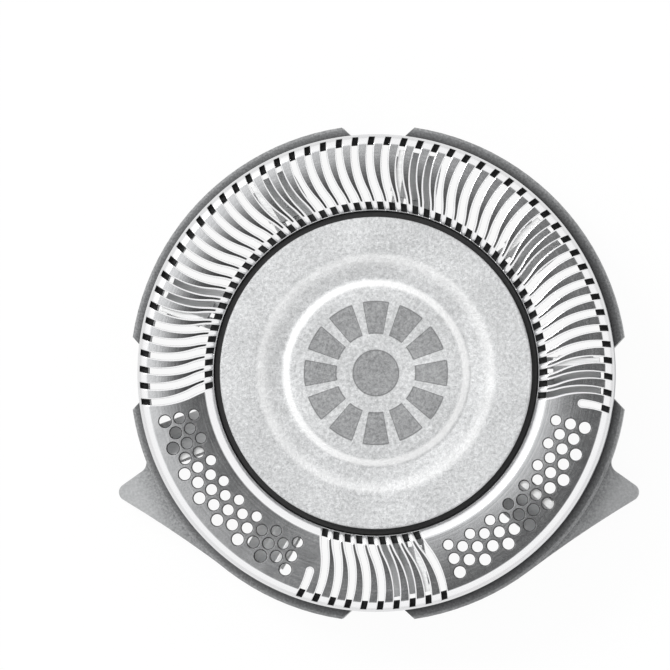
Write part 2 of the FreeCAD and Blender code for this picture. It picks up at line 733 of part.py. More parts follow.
# Names of the upright edges where the wings' upper edges leave the ring.
def wing_root_edges(shape):
    names = []
    low = value(size("wing_bottom"))
    high = value(size("wing_bottom + wing_thickness"))
    ring = value(sleeve_outer)
    for index, edge in enumerate(shape.Edges, start=1):
        ends = sorted((vertex.Point for vertex in edge.Vertexes), key=lambda point: point.z)
        if len(ends) != 2:
            continue
        spans_wing = abs(ends[0].z - low) < 1e-3 and abs(ends[1].z - high) < 1e-3
        on_ring = abs(math.hypot(ends[0].x, ends[0].y) - ring) < 1e-3
        above_corner = ends[0].y > value(size("(guard_radius + wing_reach) * sin(wing_corner_angle)"))
        if spans_wing and on_ring and above_corner:
            names.append(f"Edge{index}")
    return names


# The cutter: a stamped disc whose nine arms end in upright blades under the track.
def make_cutter():
    body = new_body("cutter")
    spigot_hole = size("spigot_radius + stud_clearance")
    revolve(body, "disc", [
        (spigot_hole, disc_underside),
        (size("cutter_radius"), disc_underside),
        (size("cutter_radius"), disc_top),
        (spigot_hole, disc_top),
    ])
    studs = new_sketch(body, "stud_hole", "XY_Plane", disc_top)
    draw_circle(studs, size("stud_circle"), "0", size("stud_radius + stud_clearance"))
    hole = pocket(body, "stud_hole_cut", studs, size("cutter_thickness"))
    repeat(body, "stud_holes", [hole], size("stud_count"))

    # The arm reaches from the disc to the blade's outer end
    arms = new_sketch(body, "arm_sketch", "XY_Plane", disc_underside)
    arm_front = blade_front(disc_top)
    draw_rectangle(arms, size("cutter_radius - arm_overlap"), f"({arm_front} - {size('arm_width')})",
                   blade_outer, arm_front)
    arm = pad(body, "arm", arms, size("cutter_thickness"))

    # The blade's section leans forward and narrows to its ground top
    blades = new_sketch(body, "blade_section", "YZ_Plane", blade_inner)
    foot = f"({disc_top} - {size('cutter_thickness / 2')})"
    draw_outline(blades, [
        (f"({blade_front(foot)} - {size('blade_foot')})", foot),
        (blade_front(foot), foot),
        (blade_front(blade_top), blade_top),
        (f"({blade_front(blade_top)} - {size('blade_tip')})", blade_top),
    ])
    blade = pad(body, "blade", blades, f"{blade_outer} - {blade_inner}")
    repeat(body, "blades", [arm, blade], size("blade_count"))
    return body


# Sideways place of a blade's front face at a height.
def blade_front(height):
    rise = f"({height} - {disc_top})"
    return f"({rise} * tan({size('blade_lean')}))"


# The lifter ring: a thin ring on the disc with a bent-up finger in front of each blade.
def make_lifter_ring():
    body = new_body("lifter_ring")
    revolve(body, "ring", [
        (size("lifter_inner_radius"), disc_top),
        (size("lifter_radius"), disc_top),
        (size("lifter_radius"), lifter_top),
        (size("lifter_inner_radius"), lifter_top),
    ])
    studs = new_sketch(body, "stud_hole", "XY_Plane", lifter_top)
    draw_circle(studs, size("stud_circle"), "0", size("stud_radius + stud_clearance"))
    hole = pocket(body, "stud_hole_cut", studs, size("lifter_thickness"))
    repeat(body, "stud_holes", [hole], size("stud_count"))

    gap = size("lifter_gap")
    sheet_width = size("lifter_thickness / cos(blade_lean)")
    finger_inner = f"({blade_inner} + {size('finger_inner_inset')})"
    finger_outer = f"({blade_outer} - {size('finger_outer_inset')})"
    finger_top = f"({blade_top} - {size('lifter_drop')})"
    arm_side = f"({blade_front(disc_top)} + {gap})"
    arms = new_sketch(body, "arm_sketch", "XY_Plane", disc_top)
    draw_rectangle(arms, size("lifter_radius - lifter_thickness * 2"), f"({arm_side} + {sheet_width})",
                   finger_outer, f"({arm_side} + {size('lifter_arm_width')})")
    arm = pad(body, "arm", arms, size("lifter_thickness"))

    fingers = new_sketch(body, "finger_section", "YZ_Plane", finger_inner)
    draw_outline(fingers, [
        (arm_side, disc_top),
        (f"({arm_side} + {sheet_width} * 2)", disc_top),
        (f"({arm_side} + {sheet_width} * 2)", lifter_top),
        (f"({blade_front(lifter_top)} + {gap} + {sheet_width})", lifter_top),
        (f"({blade_front(finger_top)} + {gap} + {sheet_width})", finger_top),
        (f"({blade_front(finger_top)} + {gap})", finger_top),
    ])
    finger = pad(body, "finger", fingers, f"{finger_outer} - {finger_inner}")
    repeat(body, "fingers", [arm, finger], size("blade_count"))
    return body


# The drive coupling: a flange under the cutter, a ribbed hub with the drive socket, a spigot
# that turns in the centre hub's bearing, and studs staked over the lifter ring.
def make_drive_coupling():
    body = new_body("drive_coupling")
    bottom = size("coupling_lift")
    flange_bottom = f"({disc_underside} - {size('flange_thickness')})"
    spigot_top = f"({bearing_end} - {size('spigot_end_gap')})"
    shoulder = f"({spigot_top} - {size('spigot_lead_in')})"
    lead_in = f"({size('spigot_radius')} - {size('spigot_lead_in')})"
    revolve(body, "hub", [
        ("0", bottom),
        (size("hub_radius"), bottom),
        (size("hub_radius"), flange_bottom),
        (size("flange_radius"), flange_bottom),
        (size("flange_radius"), disc_underside),
        (size("spigot_radius"), disc_underside),
        (size("spigot_radius"), shoulder),
        (lead_in, spigot_top),
        ("0", spigot_top),
    ])
    ribs = new_sketch(body, "rib_sketch", "XY_Plane", flange_bottom, size("180 / rib_count"))
    half_rib = size("rib_width / 2")
    draw_rectangle(ribs, size("hub_radius - rib_width / 2"), f"(-{half_rib})",
                   size("flange_radius - rib_inset"), half_rib)
    rib = pad(body, "rib", ribs, size("rib_height"))
    rib.Reversed = True
    repeat(body, "ribs", [rib], size("rib_count"))

    studs = new_sketch(body, "stud_sketch", "XY_Plane", disc_underside)
    draw_circle(studs, size("stud_circle"), "0", size("stud_radius"))
    stud = pad(body, "stud", studs, f"{lifter_top} - {disc_underside}")
    heads = new_sketch(body, "stud_head_sketch", "XY_Plane", lifter_top)
    draw_circle(heads, size("stud_circle"), "0", size("stud_head_radius"))
    head = pad(body, "stud_head", heads, size("stud_head_height"))
    repeat(body, "studs", [stud, head], size("stud_count"))

    socket = new_sketch(body, "socket_sketch", "XY_Plane", bottom)
    draw_circle(socket, "0", "0", size("socket_radius"))
    pocket(body, "drive_socket", socket, size("socket_depth"), upwards=True)
    mouth = round_edges(body.Shape, size("socket_radius"), bottom)
    bevel(body, "socket_lead_in", mouth, size("socket_lead_in"))
    key = new_sketch(body, "key_sketch", "XY_Plane", bottom)
    half_key = size("key_width / 2")
    half_length = size("key_length / 2")
    draw_rectangle(key, f"(-{half_length})", f"(-{half_key})", half_length, half_key)
    pocket(body, "key_slot", key, size("key_depth"), upwards=True)
    return body


sub_parts = [
    make_guard(),
    make_centre_hub(),
    make_centre_cover(),
    make_collar(),
    make_cutter(),
    make_lifter_ring(),
    make_drive_coupling(),
]
doc.recompute()
for item in doc.Objects:
    if "Invalid" in item.State or "Error" in item.State:
        raise RuntimeError(f"{item.Label} failed: {item.State}")
for sub_part in sub_parts:
    shape = sub_part.Shape
    if shape.isNull() or not shape.isValid() or len(shape.Solids) != 1:
        raise RuntimeError(f"{sub_part.Label} is not one valid solid")
os.makedirs("parts", exist_ok=True)
for sub_part in sub_parts:
    sub_part.Shape.exportStep(f"parts/{sub_part.Label}.step")
    print(f"{sub_part.Label}: {sub_part.Shape.Volume:.2f} cubic millimetres")
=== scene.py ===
# Rotary shaver head: slotted steel guard, stepped cover, winged collar and a nine-blade cutter.
# Metres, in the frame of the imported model. Lengths in the dictionaries are millimetres.
import math
import bmesh
import bpy
import numpy as np
from mathutils import Matrix, Vector
from mathutils.geometry import delaunay_2d_cdt


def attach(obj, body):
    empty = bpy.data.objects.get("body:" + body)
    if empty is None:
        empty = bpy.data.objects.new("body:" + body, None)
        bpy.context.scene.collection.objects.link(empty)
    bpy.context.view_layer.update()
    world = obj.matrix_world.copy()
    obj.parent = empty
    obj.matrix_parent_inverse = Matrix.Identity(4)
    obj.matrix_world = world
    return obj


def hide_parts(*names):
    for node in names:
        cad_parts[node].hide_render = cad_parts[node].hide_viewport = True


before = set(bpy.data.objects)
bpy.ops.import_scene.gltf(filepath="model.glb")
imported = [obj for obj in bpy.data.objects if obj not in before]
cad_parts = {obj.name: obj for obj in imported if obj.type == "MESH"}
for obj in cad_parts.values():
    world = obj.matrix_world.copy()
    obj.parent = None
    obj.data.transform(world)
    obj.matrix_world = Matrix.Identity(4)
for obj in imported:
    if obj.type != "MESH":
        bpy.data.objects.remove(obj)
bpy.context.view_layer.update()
mm = 0.001


# Helpers for meshes

# An object with this data at the origin of the scene.
def addObject(name, data):
    thing = bpy.data.objects.new(name, data)
    bpy.context.scene.collection.objects.link(thing)
    return thing


# Smooth shading that stays crisp at edges sharper than an angle in degrees.
def shadeSmooth(mesh, crispOver):
    mesh.polygons.foreach_set("use_smooth", np.ones(len(mesh.polygons), bool))
    mesh.set_sharp_from_angle(angle=math.radians(crispOver))
    mesh.update()


# A mesh object from points in millimetres and lists of faces.
def meshObject(name, points, faceLists, crispOver=35):
    mesh = bpy.data.meshes.new(name)
    faces = [face for faceList in faceLists for face in np.asarray(faceList).tolist()]
    mesh.from_pydata((np.asarray(points) * mm).tolist(), [], faces)
    shadeSmooth(mesh, crispOver)
    return addObject(name, mesh)


# Points from radius, angle and height: x = r cos a, y = r sin a, z = height.
def fromPolar(radius, angle, height=0.0):
    parts = np.broadcast_arrays(radius * np.cos(angle), radius * np.sin(angle), height)
    return np.stack(parts, -1)


# Points in the plane from radius and angle: x = r cos a, y = r sin a.
def planePoints(radius, angle):
    return fromPolar(radius, angle)[..., :2]


# Quads of a grid of rows by columns, where either way may close on itself:
# face (i, j) joins points (i, j), (i, j+1), (i+1, j+1) and (i+1, j).
def gridFaces(rows, columns, closeRows=False, closeColumns=False):
    i = np.arange(rows if closeRows else rows - 1)[:, None]
    j = np.arange(columns if closeColumns else columns - 1)[None, :]
    here, beyond = i * columns, (i + 1) % rows * columns
    nextJ = (j + 1) % columns
    quads = np.broadcast_arrays(here + j, here + nextJ, beyond + nextJ, beyond + j)
    return np.stack(quads, -1).reshape(-1, 4)


# A profile of radius and height turned once round the axis: x = r cos a, y = r sin a, z = height.
# A closed profile gives a ring; an open one runs from pole to pole, and its ends are fans.
def lathe(profile, segments, closed=True):
    profile = np.asarray(profile, float)
    angle = np.linspace(0, 2 * np.pi, segments, endpoint=False)[:, None]
    inner = profile if closed else profile[1:-1]
    points = fromPolar(inner[None, :, 0], angle, inner[None, :, 1]).reshape(-1, 3)
    quads = gridFaces(segments, len(inner), closeRows=True, closeColumns=closed)
    if closed:
        return points, [quads]
    poles = [[0, 0, profile[0, 1]], [0, 0, profile[-1, 1]]]
    ring = np.arange(segments) * len(inner)
    following = np.roll(ring, -1)
    first, last = np.full(segments, len(points)), np.full(segments, len(points) + 1)
    top = np.stack([first, ring, following], -1)
    bottom = np.stack([last, following + len(inner) - 1, ring + len(inner) - 1], -1)
    return np.vstack([points, poles]), [quads, top, bottom]


# A profile whose corners are rounded: each corner becomes a quadratic curve between the points
# that lie its radius before and after it, (1-t)^2 start + 2t(1-t) corner + t^2 finish. Corners are
# (across, up, radius), and a rounding takes at most 0.48 of a side.
def roundedProfile(corners, steps=5, closed=True, mostOfSide=0.48):
    corners = np.asarray(corners, float)
    here, radius = corners[:, :2], corners[:, 2:3]
    towardsBefore = np.roll(here, 1, 0) - here
    towardsAfter = np.roll(here, -1, 0) - here
    lengthBefore = np.linalg.norm(towardsBefore, axis=1, keepdims=True)
    lengthAfter = np.linalg.norm(towardsAfter, axis=1, keepdims=True)
    before = np.minimum(radius, lengthBefore * mostOfSide)
    after = np.minimum(radius, lengthAfter * mostOfSide)
    start = (here + towardsBefore / lengthBefore * before)[:, None]
    finish = (here + towardsAfter / lengthAfter * after)[:, None]
    t = np.linspace(0, 1, steps)[None, :, None]
    curve = (1 - t) ** 2 * start + 2 * t * (1 - t) * here[:, None] + t ** 2 * finish
    points = []
    for index in range(len(corners)):  # a sharp corner stays one point
        isEnd = not closed and index in (0, len(corners) - 1)
        isSharp = isEnd or radius[index, 0] == 0
        points.append(here[index:index + 1] if isSharp else curve[index])
    return np.vstack(points)


# Several pieces of mesh as one: points stacked, faces shifted by the points before them.
def joined(pieces):
    points, faceLists, count = [], [], 0
    for piecePoints, pieceFaces in pieces:
        points.append(piecePoints)
        faceLists += [np.asarray(faces) + count for faces in pieceFaces]
        count += len(piecePoints)
    return np.vstack(points), faceLists


# Points turned about the axis: x' = x cos a - y sin a, y' = x sin a + y cos a.
def turnedAbout(points, degrees):
    c, s = math.cos(math.radians(degrees)), math.sin(math.radians(degrees))
    return points @ np.array([[c, s, 0], [-s, c, 0], [0, 0, 1]])


# The guard. Angles are in degrees.
guardShape = {
    # Track between two shoulders
    "radius": 12.0, "recess": 8.14, "top": 6.0, "crown": 0.045,
    "shoulderInner": 0.54, "shoulderOuter": 0.48, "shoulderDrop": 0.44, "shoulderCrease": 0.3,
    # Channel under the track, and the level down to which the slots are cut
    "channelInner": 8.62, "channelOuter": 11.46, "trackUnder": 5.85,
    "slotFloor": 5.5, "belowSlots": 0.04,
    # Skirt, seat, floor and bore, with the roundings of their edges
    "seat": 11.78, "seatTop": 2.65, "foot": 0.9, "footInner": 11.66,
    "floorTop": 4.3, "floorUnder": 3.85, "bore": 2.25,
    "seatEdge": 0.05, "seatCorner": 0.03, "footEdge": 0.04,
    "recessFoot": 0.12, "boreEdge": 0.05, "cupEdge": 0.18,
    # Slots: ends, half width, the two bends and where they meet, and the lips at the ends
    "slotInner": 8.21, "slotOuter": 11.87, "slotHalf": 0.145,
    "outerBend": 4.40, "innerBend": 3.60, "crest": 10.8, "crestOffset": 0.118, "turn": 9.2,
    "tracedFrom": 8.0, "tracedTo": 12.1, "tracedSteps": 1200,
    "endLipInner": 0.03, "endLipOuter": 0.05,
    # Ground bevel along the slots: its width at both ends, its slope, its burr and its crease
    "bevelInner": 0.10, "bevelOuter": 0.05, "bevelSlope": 30, "bevelCrease": 0.012,
    "burrWay": (0, 0.004, 0.014), "burrDrop": (0.0119, 0.0022, 0),
    # Fields of slots, and the short slot in each plate
    "pitch": 4.0, "firstSlot": -5.0, "longCount": 49, "shortCount": 9, "fieldTurn": -100.0,
    "shortSlotEnd": 10.33,
    # Fields of round holes
    "holeFirst": -14.7, "holeArc": 52.36, "holeSteps": 7, "holeRows": 5, "holeOuter": 10.86,
    "holeRowStep": 0.373, "holeRadius": 0.30, "holeRadiusStep": 0.01125,
    "holeLip": 0.045, "holeRings": (0, 0.0088, 0.045, 0.057), "holeSides": 28,
    # Fineness: steps over the shoulders and the track, gaps between them and from the walls
    "shoulderSteps": (9, 8), "trackSteps": 20, "barEnds": (0.01, 0.07), "trackGaps": (0.05, 0.02),
    "wallGap": 0.004, "rimSteps": (8, 12), "rimSegments": 240, "lipSteps": 4, "cornerSteps": 4,
    "arcSteps": 66, "arcMargins": (0.06, 0.11), "shortSlotSteps": 14, "shortBendSteps": 12,
    # Second material, painted shade: how near to a blind end and how far below the skin it starts
    "paintedShadeNear": 0.01, "paintedShadeBelow": 0.05, "paintedShadeUnder": 0.065, "holeWallFrom": 5.78,
}


# Height of the guard's skin over the radius: a slightly crowned track between two shoulders,
# z = top - crown * (distance from the middle / half width) squared. Where s is the way over a
# shoulder from 0 to 1, it drops by D * ((1 - k) * (1 - root(1 - s^2)) + k * s), with a crease k.
def skinHeight(radius):
    g = guardShape
    innerEdge, outerEdge = g["recess"] + g["shoulderInner"], g["radius"] - g["shoulderOuter"]
    middle, halfWidth = (innerEdge + outerEdge) / 2, (outerEdge - innerEdge) / 2
    away = np.clip(np.abs(radius - middle) / halfWidth, 0, 1)
    pastInner = (innerEdge - radius) / g["shoulderInner"]
    pastOuter = (radius - outerEdge) / g["shoulderOuter"]
    past = np.clip(np.maximum(pastInner, pastOuter), 0, 1)
    crease = g["shoulderCrease"]
    drop = g["shoulderDrop"] * ((1 - crease) * (1 - np.sqrt(1 - past ** 2)) + crease * past)
    return g["top"] - g["crown"] * away ** 2 - drop


# Underside of the pierced track: the channel's ceiling, and inside the walls just below the
# slots' floor.
def skinUnderside(radius):
    g = guardShape
    inChannel = (radius > g["channelInner"]) & (radius < g["channelOuter"])
    return np.where(inChannel, g["trackUnder"], g["slotFloor"] - g["belowSlots"])


# A rounded lip at the distance d from a hole's edge: the skin drops by R - root(R^2 - (R - d)^2).
def roundDrop(distance, lip):
    inside = np.clip(lip - distance, 0, lip)
    return lip - np.sqrt(lip ** 2 - inside ** 2)


# Width of the ground bevel along a slot, which grows evenly from the outer end to the inner one.
def bevelWidth(radius):
    g = guardShape
    ends = [g["channelInner"], g["channelOuter"]]
    return np.interp(radius, ends, [g["bevelInner"], g["bevelOuter"]])


# The bevel at the distance d from a slot's wall: the skin drops by (width - d) * tan of its slope,
# and a little more over the last hundredths, where the burr is rounded off.
def bevelDrop(distance, width):
    g = guardShape
    burr = np.interp(distance, g["burrWay"], g["burrDrop"])
    return np.clip(width - distance, 0, None) * math.tan(math.radians(g["bevelSlope"])) + burr


# Distances from a slot's wall at which its bevel is worked out, a column for each: those of the
# burr, and the bevel's width with a crease on both sides.
def bevelSteps(radius):
    g = guardShape
    width = bevelWidth(radius)
    burr = [0 * width + way for way in g["burrWay"]]
    crease = g["bevelCrease"]
    return np.stack([*burr, width - crease, width, width + crease], -1)


# One wall of a slot as an angle over the radius: two bends that meet at a common tangent, half a
# slot to one side of the centre line, then read off at the radii. Each bend is a circle,
# y = its centre's y plus or minus root(R^2 - (x - its centre's x)^2). Also the cosine of its slant.
def slotWall(radii, side):
    g = guardShape
    outerCentre = np.array([g["crest"], g["crestOffset"] - g["outerBend"]])
    lean = math.asin((g["crest"] - g["turn"]) / g["outerBend"])
    normal = np.array([-math.sin(lean), math.cos(lean)])
    innerCentre = outerCentre + normal * (g["outerBend"] + g["innerBend"])
    outerRadius = g["outerBend"] + side * g["slotHalf"]
    innerRadius = g["innerBend"] - side * g["slotHalf"]
    turnAt = (outerCentre + normal * outerRadius)[0]
    x = np.linspace(g["tracedFrom"], g["tracedTo"], g["tracedSteps"])
    innerRise = np.sqrt(np.maximum(innerRadius ** 2 - (x - innerCentre[0]) ** 2, 0))
    outerRise = np.sqrt(outerRadius ** 2 - (x - outerCentre[0]) ** 2)
    y = np.where(x > turnAt, outerCentre[1] + outerRise, innerCentre[1] - innerRise)
    radius, angle = np.hypot(x, y), np.arctan2(y, x)
    slant = np.gradient(radius) / np.hypot(np.gradient(x), np.gradient(y))
    return np.interp(radii, radius, angle), np.interp(radii, radius, slant)


# Radii at which the bars and plates are worked out: close together over the shoulders and at the
# channel's walls.
def skinRadii():
    g = guardShape
    inside, outside = g["barEnds"]
    innerSteps, outerSteps = g["shoulderSteps"]
    innerGap, outerGap = g["trackGaps"]
    inner = np.linspace(g["recess"] + inside, g["recess"] + g["shoulderInner"], innerSteps)
    outer = np.linspace(g["radius"] - g["shoulderOuter"], g["radius"] - outside, outerSteps)
    flat = np.linspace(inner[-1] + innerGap, outer[0] - outerGap, g["trackSteps"])
    walls = [wall + side * g["wallGap"]
             for wall in (g["channelInner"], g["channelOuter"]) for side in (-1, 1)]
    return np.unique(np.concatenate([inner, outer, flat, walls]))


# All bars between neighbouring slots. Across a bar the section runs up one wall, over its bevel,
# along the top, over the other bevel and down, and it closes along the underside. A point's angle
# is that of the nearer wall plus or minus its distance from it over the radius.
def bars():
    g = guardShape
    radii = skinRadii()
    r = radii[:, None]
    steps = bevelSteps(radii)
    inset = np.hstack([steps[:, :1], steps])
    drop = bevelDrop(inset, bevelWidth(radii)[:, None])
    leftAngle, leftSlant = slotWall(radii, 1)
    rightAngle, rightSlant = slotWall(radii, -1)
    fromLeft = leftAngle[:, None] + inset / (r * leftSlant[:, None])
    fromRight = (rightAngle[:, None] + math.radians(g["pitch"])
                 - inset[:, ::-1] / (r * rightSlant[:, None]))
    height = skinHeight(r) - np.hstack([drop, drop[:, ::-1]])
    height[:, 0] = height[:, -1] = skinUnderside(radii)
    starts = [g["firstSlot"] + g["pitch"] * k for k in range(g["longCount"] - 1)]
    fieldStart = g["firstSlot"] + g["fieldTurn"]
    starts += [fieldStart + g["pitch"] * k for k in range(g["shortCount"] - 1)]
    angle = np.hstack([fromLeft, fromRight])[None] + np.radians(starts)[:, None, None]
    points = fromPolar(r, angle, height[None]).reshape(-1, 3)
    rows, columns = height.shape
    quads = gridFaces(rows, columns, closeColumns=True)[:, ::-1]
    ends = np.stack([np.arange(columns), np.arange(columns)[::-1] + (rows - 1) * columns])
    shift = (np.arange(len(starts)) * rows * columns)[:, None, None]
    quads, ends = (quads[None] + shift).reshape(-1, 4), (ends[None] + shift).reshape(-1, columns)
    return points, [quads, ends]


# One rim's closed profile: along the slots' floor, over a lip at their ends, over the shoulder to
# its edge, then round the corners below. The lip is a quarter circle that goes across by
# R * (1 - cos t) while it rises by R * sin t; a negative R goes inwards.
def rimProfile(channel, slotEnd, lip, edge, steps, corners):
    t = np.radians(np.linspace(0, 90, guardShape["lipSteps"]))
    overLip = slotEnd + lip * (1 - np.cos(t))
    overTop = np.linspace(overLip[-1], edge, steps)[1:]
    return np.concatenate([
        [[channel, guardShape["slotFloor"]], [slotEnd, guardShape["slotFloor"]]],
        np.stack([overLip, skinHeight(overLip) - abs(lip) * (1 - np.sin(t))], -1),
        np.stack([overTop, skinHeight(overTop)], -1),
        roundedProfile(corners, guardShape["cornerSteps"]),
    ])


# The rims that the bars end in, both turned round the axis: the skirt outside the slots, and the
# recess wall inside them with its floor.
def rims():
    g = guardShape
    innerSteps, outerSteps = g["rimSteps"]
    skirtCorners = [
        (g["radius"], g["seatTop"], g["seatEdge"]), (g["seat"], g["seatTop"], g["seatCorner"]),
        (g["seat"], g["foot"], g["footEdge"]), (g["footInner"], g["foot"], g["footEdge"])]
    cupCorners = [
        (g["recess"], g["floorTop"], g["recessFoot"]), (g["bore"], g["floorTop"], g["boreEdge"]),
        (g["bore"], g["floorUnder"], g["boreEdge"]),
        (g["channelInner"], g["floorUnder"], g["cupEdge"])]
    skirt = rimProfile(g["channelOuter"], g["slotOuter"], g["endLipOuter"],
                       g["radius"], outerSteps, skirtCorners)
    cup = rimProfile(g["channelInner"], g["slotInner"], -g["endLipInner"],
                     g["recess"], innerSteps, cupCorners)
    cupPoints, cupFaces = lathe(cup, g["rimSegments"])
    cupFaces = [faces[:, ::-1] for faces in cupFaces]  # its profile runs the other way round
    return joined([lathe(skirt, g["rimSegments"]), (cupPoints, cupFaces)])


# Shortest distance from points to a closed line: to the point at t on each of its sides, where t
# is the way along the side, held between 0 and 1.
def distanceToLoop(points, loop):
    start, finish = loop, np.roll(loop, -1, 0)
    along = finish - start
    t = np.einsum("pqk,qk->pq", points[:, None] - start[None], along) / np.sum(along ** 2, 1)
    nearest = start[None] + np.clip(t, 0, 1)[..., None] * along[None]
    return np.sqrt(np.min(np.sum((points[:, None] - nearest) ** 2, -1), 1))


# Whether points lie inside a closed line: they do where a ray to the right crosses it an odd
# number of times.
def insideLoop(points, loop):
    start, finish = loop[None], np.roll(loop, -1, 0)[None]
    x, y = points[:, None, 0], points[:, None, 1]
    crosses = (start[..., 1] > y) != (finish[..., 1] > y)
    climb = finish[..., 1] - start[..., 1]
    climb = np.where(climb == 0, 1e-12, climb)
    at = start[..., 0] + (y - start[..., 1]) / climb * (finish[..., 0] - start[..., 0])
    return (np.sum(crosses & (x < at), 1) % 2) == 1


# Centres and radii of the round holes of one field: rows of even angles, each further row shifted
# by half a pitch and with one hole fewer every other time.
def holes():
    g = guardShape
    pitch = g["holeArc"] / g["holeSteps"]
    centres, sizes = [], []
    for row in range(g["holeRows"]):
        odd = row % 2
        across = np.arange(g["holeSteps"] + 1 - odd) + odd / 2
        angles = np.radians(g["holeFirst"] - pitch * across)
        centres.append(planePoints(g["holeOuter"] - row * g["holeRowStep"], angles))
        sizes.append(np.full(len(angles), g["holeRadius"] - row * g["holeRadiusStep"]))
    return np.vstack(centres), np.concatenate(sizes)


# The short slot's outline, once round: one wall inwards, a half circle, the other wall outwards.
# Also the directions out of it, square to the line at each point.
def shortSlotOutline():
    g = guardShape
    innerEnd = g["shortSlotEnd"] + g["slotHalf"]
    radii = np.linspace(innerEnd, g["slotOuter"], g["shortSlotSteps"])
    at = math.radians(g["firstSlot"] - g["pitch"])
    left = planePoints(radii, slotWall(radii, 1)[0] + at)
    right = planePoints(radii, slotWall(radii, -1)[0] + at)
    middle, across = (left[0] + right[0]) / 2, (left[0] - right[0]) / 2
    along = np.array([-across[1], across[0]])
    bend = np.linspace(0, np.pi, g["shortBendSteps"])[1:-1, None]
    outline = np.vstack([left[::-1], middle + across * np.cos(bend) + along * np.sin(bend), right])
    edge = np.roll(outline, -1, 0) - np.roll(outline, 1, 0)
    outward = np.stack([edge[:, 1], -edge[:, 0]], -1) / np.linalg.norm(edge, axis=1, keepdims=True)
    trial = outline[5:6] + outward[5:6] * 0.01  # a short step tells which side is outside
    return outline, -outward if insideLoop(trial, outline)[0] else outward


# Triangles that join lines of points in the plane, with every step of a line as an edge.
def triangulated(lines):
    edges, first = [], 0
    for line, closed in lines:
        index = np.arange(first, first + len(line))
        pairs = np.stack([index, np.roll(index, -1)], -1)
        edges.append(pairs if closed else pairs[:-1])
        first += len(line)
    points = [Vector(point) for point in np.vstack([line for line, _ in lines]).tolist()]
    found = delaunay_2d_cdt(points, np.vstack(edges).tolist(), [], 0, 1e-5, False)
    triangles = [face for face in found[2] if len(face) == 3]
    return np.array([tuple(point) for point in found[0]]), np.array(triangles)


# The solid plate between two fields of slots, with a short slot and a field of round holes. Its
# outline and rings round every opening are joined by triangles, then each point takes the skin's
# height less the lip's drop at its distance from the nearest edge.
def plate():
    g = guardShape
    radii = skinRadii()
    leftAngle, leftSlant = slotWall(radii, 1)
    rightAngle, rightSlant = slotWall(radii, -1)
    highAt = math.radians(g["firstSlot"])
    lowAt = math.radians(g["firstSlot"] + g["fieldTurn"] + g["pitch"] * (g["shortCount"] - 1))
    steps = bevelSteps(radii).T
    high = [rightAngle + highAt - step / (radii * rightSlant) for step in steps]
    low = [leftAngle + lowAt + step / (radii * leftSlant) for step in steps]
    lines = [(planePoints(radii, wall), False) for wall in high + low]
    arcsWithin = g["recess"] + g["shoulderInner"] + g["arcMargins"][0]
    arcsBeyond = g["radius"] - g["shoulderOuter"] - g["arcMargins"][1]
    for k, r in enumerate(radii):  # arcs over the shoulders and at the channel's walls
        if r <= arcsWithin or r >= arcsBeyond:
            between = np.linspace(low[-1][k], high[-1][k], g["arcSteps"])[1:-1]
            arc = [wall[k] for wall in low], between, [wall[k] for wall in high[::-1]]
            lines.append((planePoints(r, np.concatenate(arc)), False))
    centres, sizes = holes()
    circle = planePoints(1.0, np.linspace(0, 2 * np.pi, g["holeSides"], endpoint=False))
    for centre, size in zip(centres, sizes):
        lines += [(centre + circle * (size + step), True) for step in g["holeRings"]]
    shortSlot, outward = shortSlotOutline()
    for step in bevelSteps(np.hypot(*shortSlot.T)).T:
        lines.append((shortSlot + outward * step[:, None], True))
    flat, triangles = triangulated(lines)

    corner = flat[triangles]  # triangles outside the plate, in an opening or without area go
    centroid = corner.mean(1)
    r, a = np.hypot(*centroid.T), np.arctan2(centroid[:, 1], centroid[:, 0])
    keep = (r > radii[0]) & (r < radii[-1])
    keep &= (a < np.interp(r, radii, high[0])) & (a > np.interp(r, radii, low[0]))
    keep &= ~insideLoop(centroid, shortSlot)
    keep &= np.all(np.linalg.norm(centroid[:, None] - centres[None], axis=2) > sizes * 0.99, 1)
    one, other = corner[:, 1] - corner[:, 0], corner[:, 2] - corner[:, 0]
    area = one[:, 0] * other[:, 1] - one[:, 1] * other[:, 0]
    triangles = triangles[keep & (np.abs(area) > 1e-9)]

    r, a = np.hypot(*flat.T), np.arctan2(flat[:, 1], flat[:, 0])
    toHigh = (np.interp(r, radii, high[0]) - a) * r * np.interp(r, radii, rightSlant)
    toLow = (a - np.interp(r, radii, low[0])) * r * np.interp(r, radii, leftSlant)
    toEdge = np.minimum(np.minimum(toHigh, toLow), distanceToLoop(flat, shortSlot))
    toHoles = np.min(np.linalg.norm(flat[:, None] - centres[None], axis=2) - sizes, 1)
    drop = np.maximum(bevelDrop(np.maximum(toEdge, 0), bevelWidth(r)),
                      roundDrop(np.maximum(toHoles, 0), g["holeLip"]))
    top = np.column_stack([flat, skinHeight(r) - drop])
    bottom = np.column_stack([flat, skinUnderside(r)])
    sides = np.vstack([triangles[:, [0, 1]], triangles[:, [1, 2]], triangles[:, [2, 0]]])
    _, which, count = np.unique(np.sort(sides, 1), axis=0, return_inverse=True, return_counts=True)
    rim = sides[count[which.ravel()] == 1]  # a side that only one triangle has gets a wall
    walls = np.hstack([rim[:, ::-1], rim + len(flat)])
    return np.vstack([top, bottom]), [triangles, triangles[:, ::-1] + len(flat), walls]


# The guard as one piece: bars first, then the rims, a plate, and the same plate turned to the
# other gap between the fields. Gives the number of the bars' faces too.
def makeGuard():
    barPoints, barFaces = bars()
    platePoints, plateFaces = plate()
    secondPlate = turnedAbout(platePoints, guardShape["fieldTurn"])
    parts = [(barPoints, barFaces), rims(), (platePoints, plateFaces), (secondPlate, plateFaces)]
    guard = meshObject("guard_skin", *joined(parts), crispOver=38)
    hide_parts("guard")
    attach(guard, "head")
    return guard, sum(len(faces) for faces in barFaces)
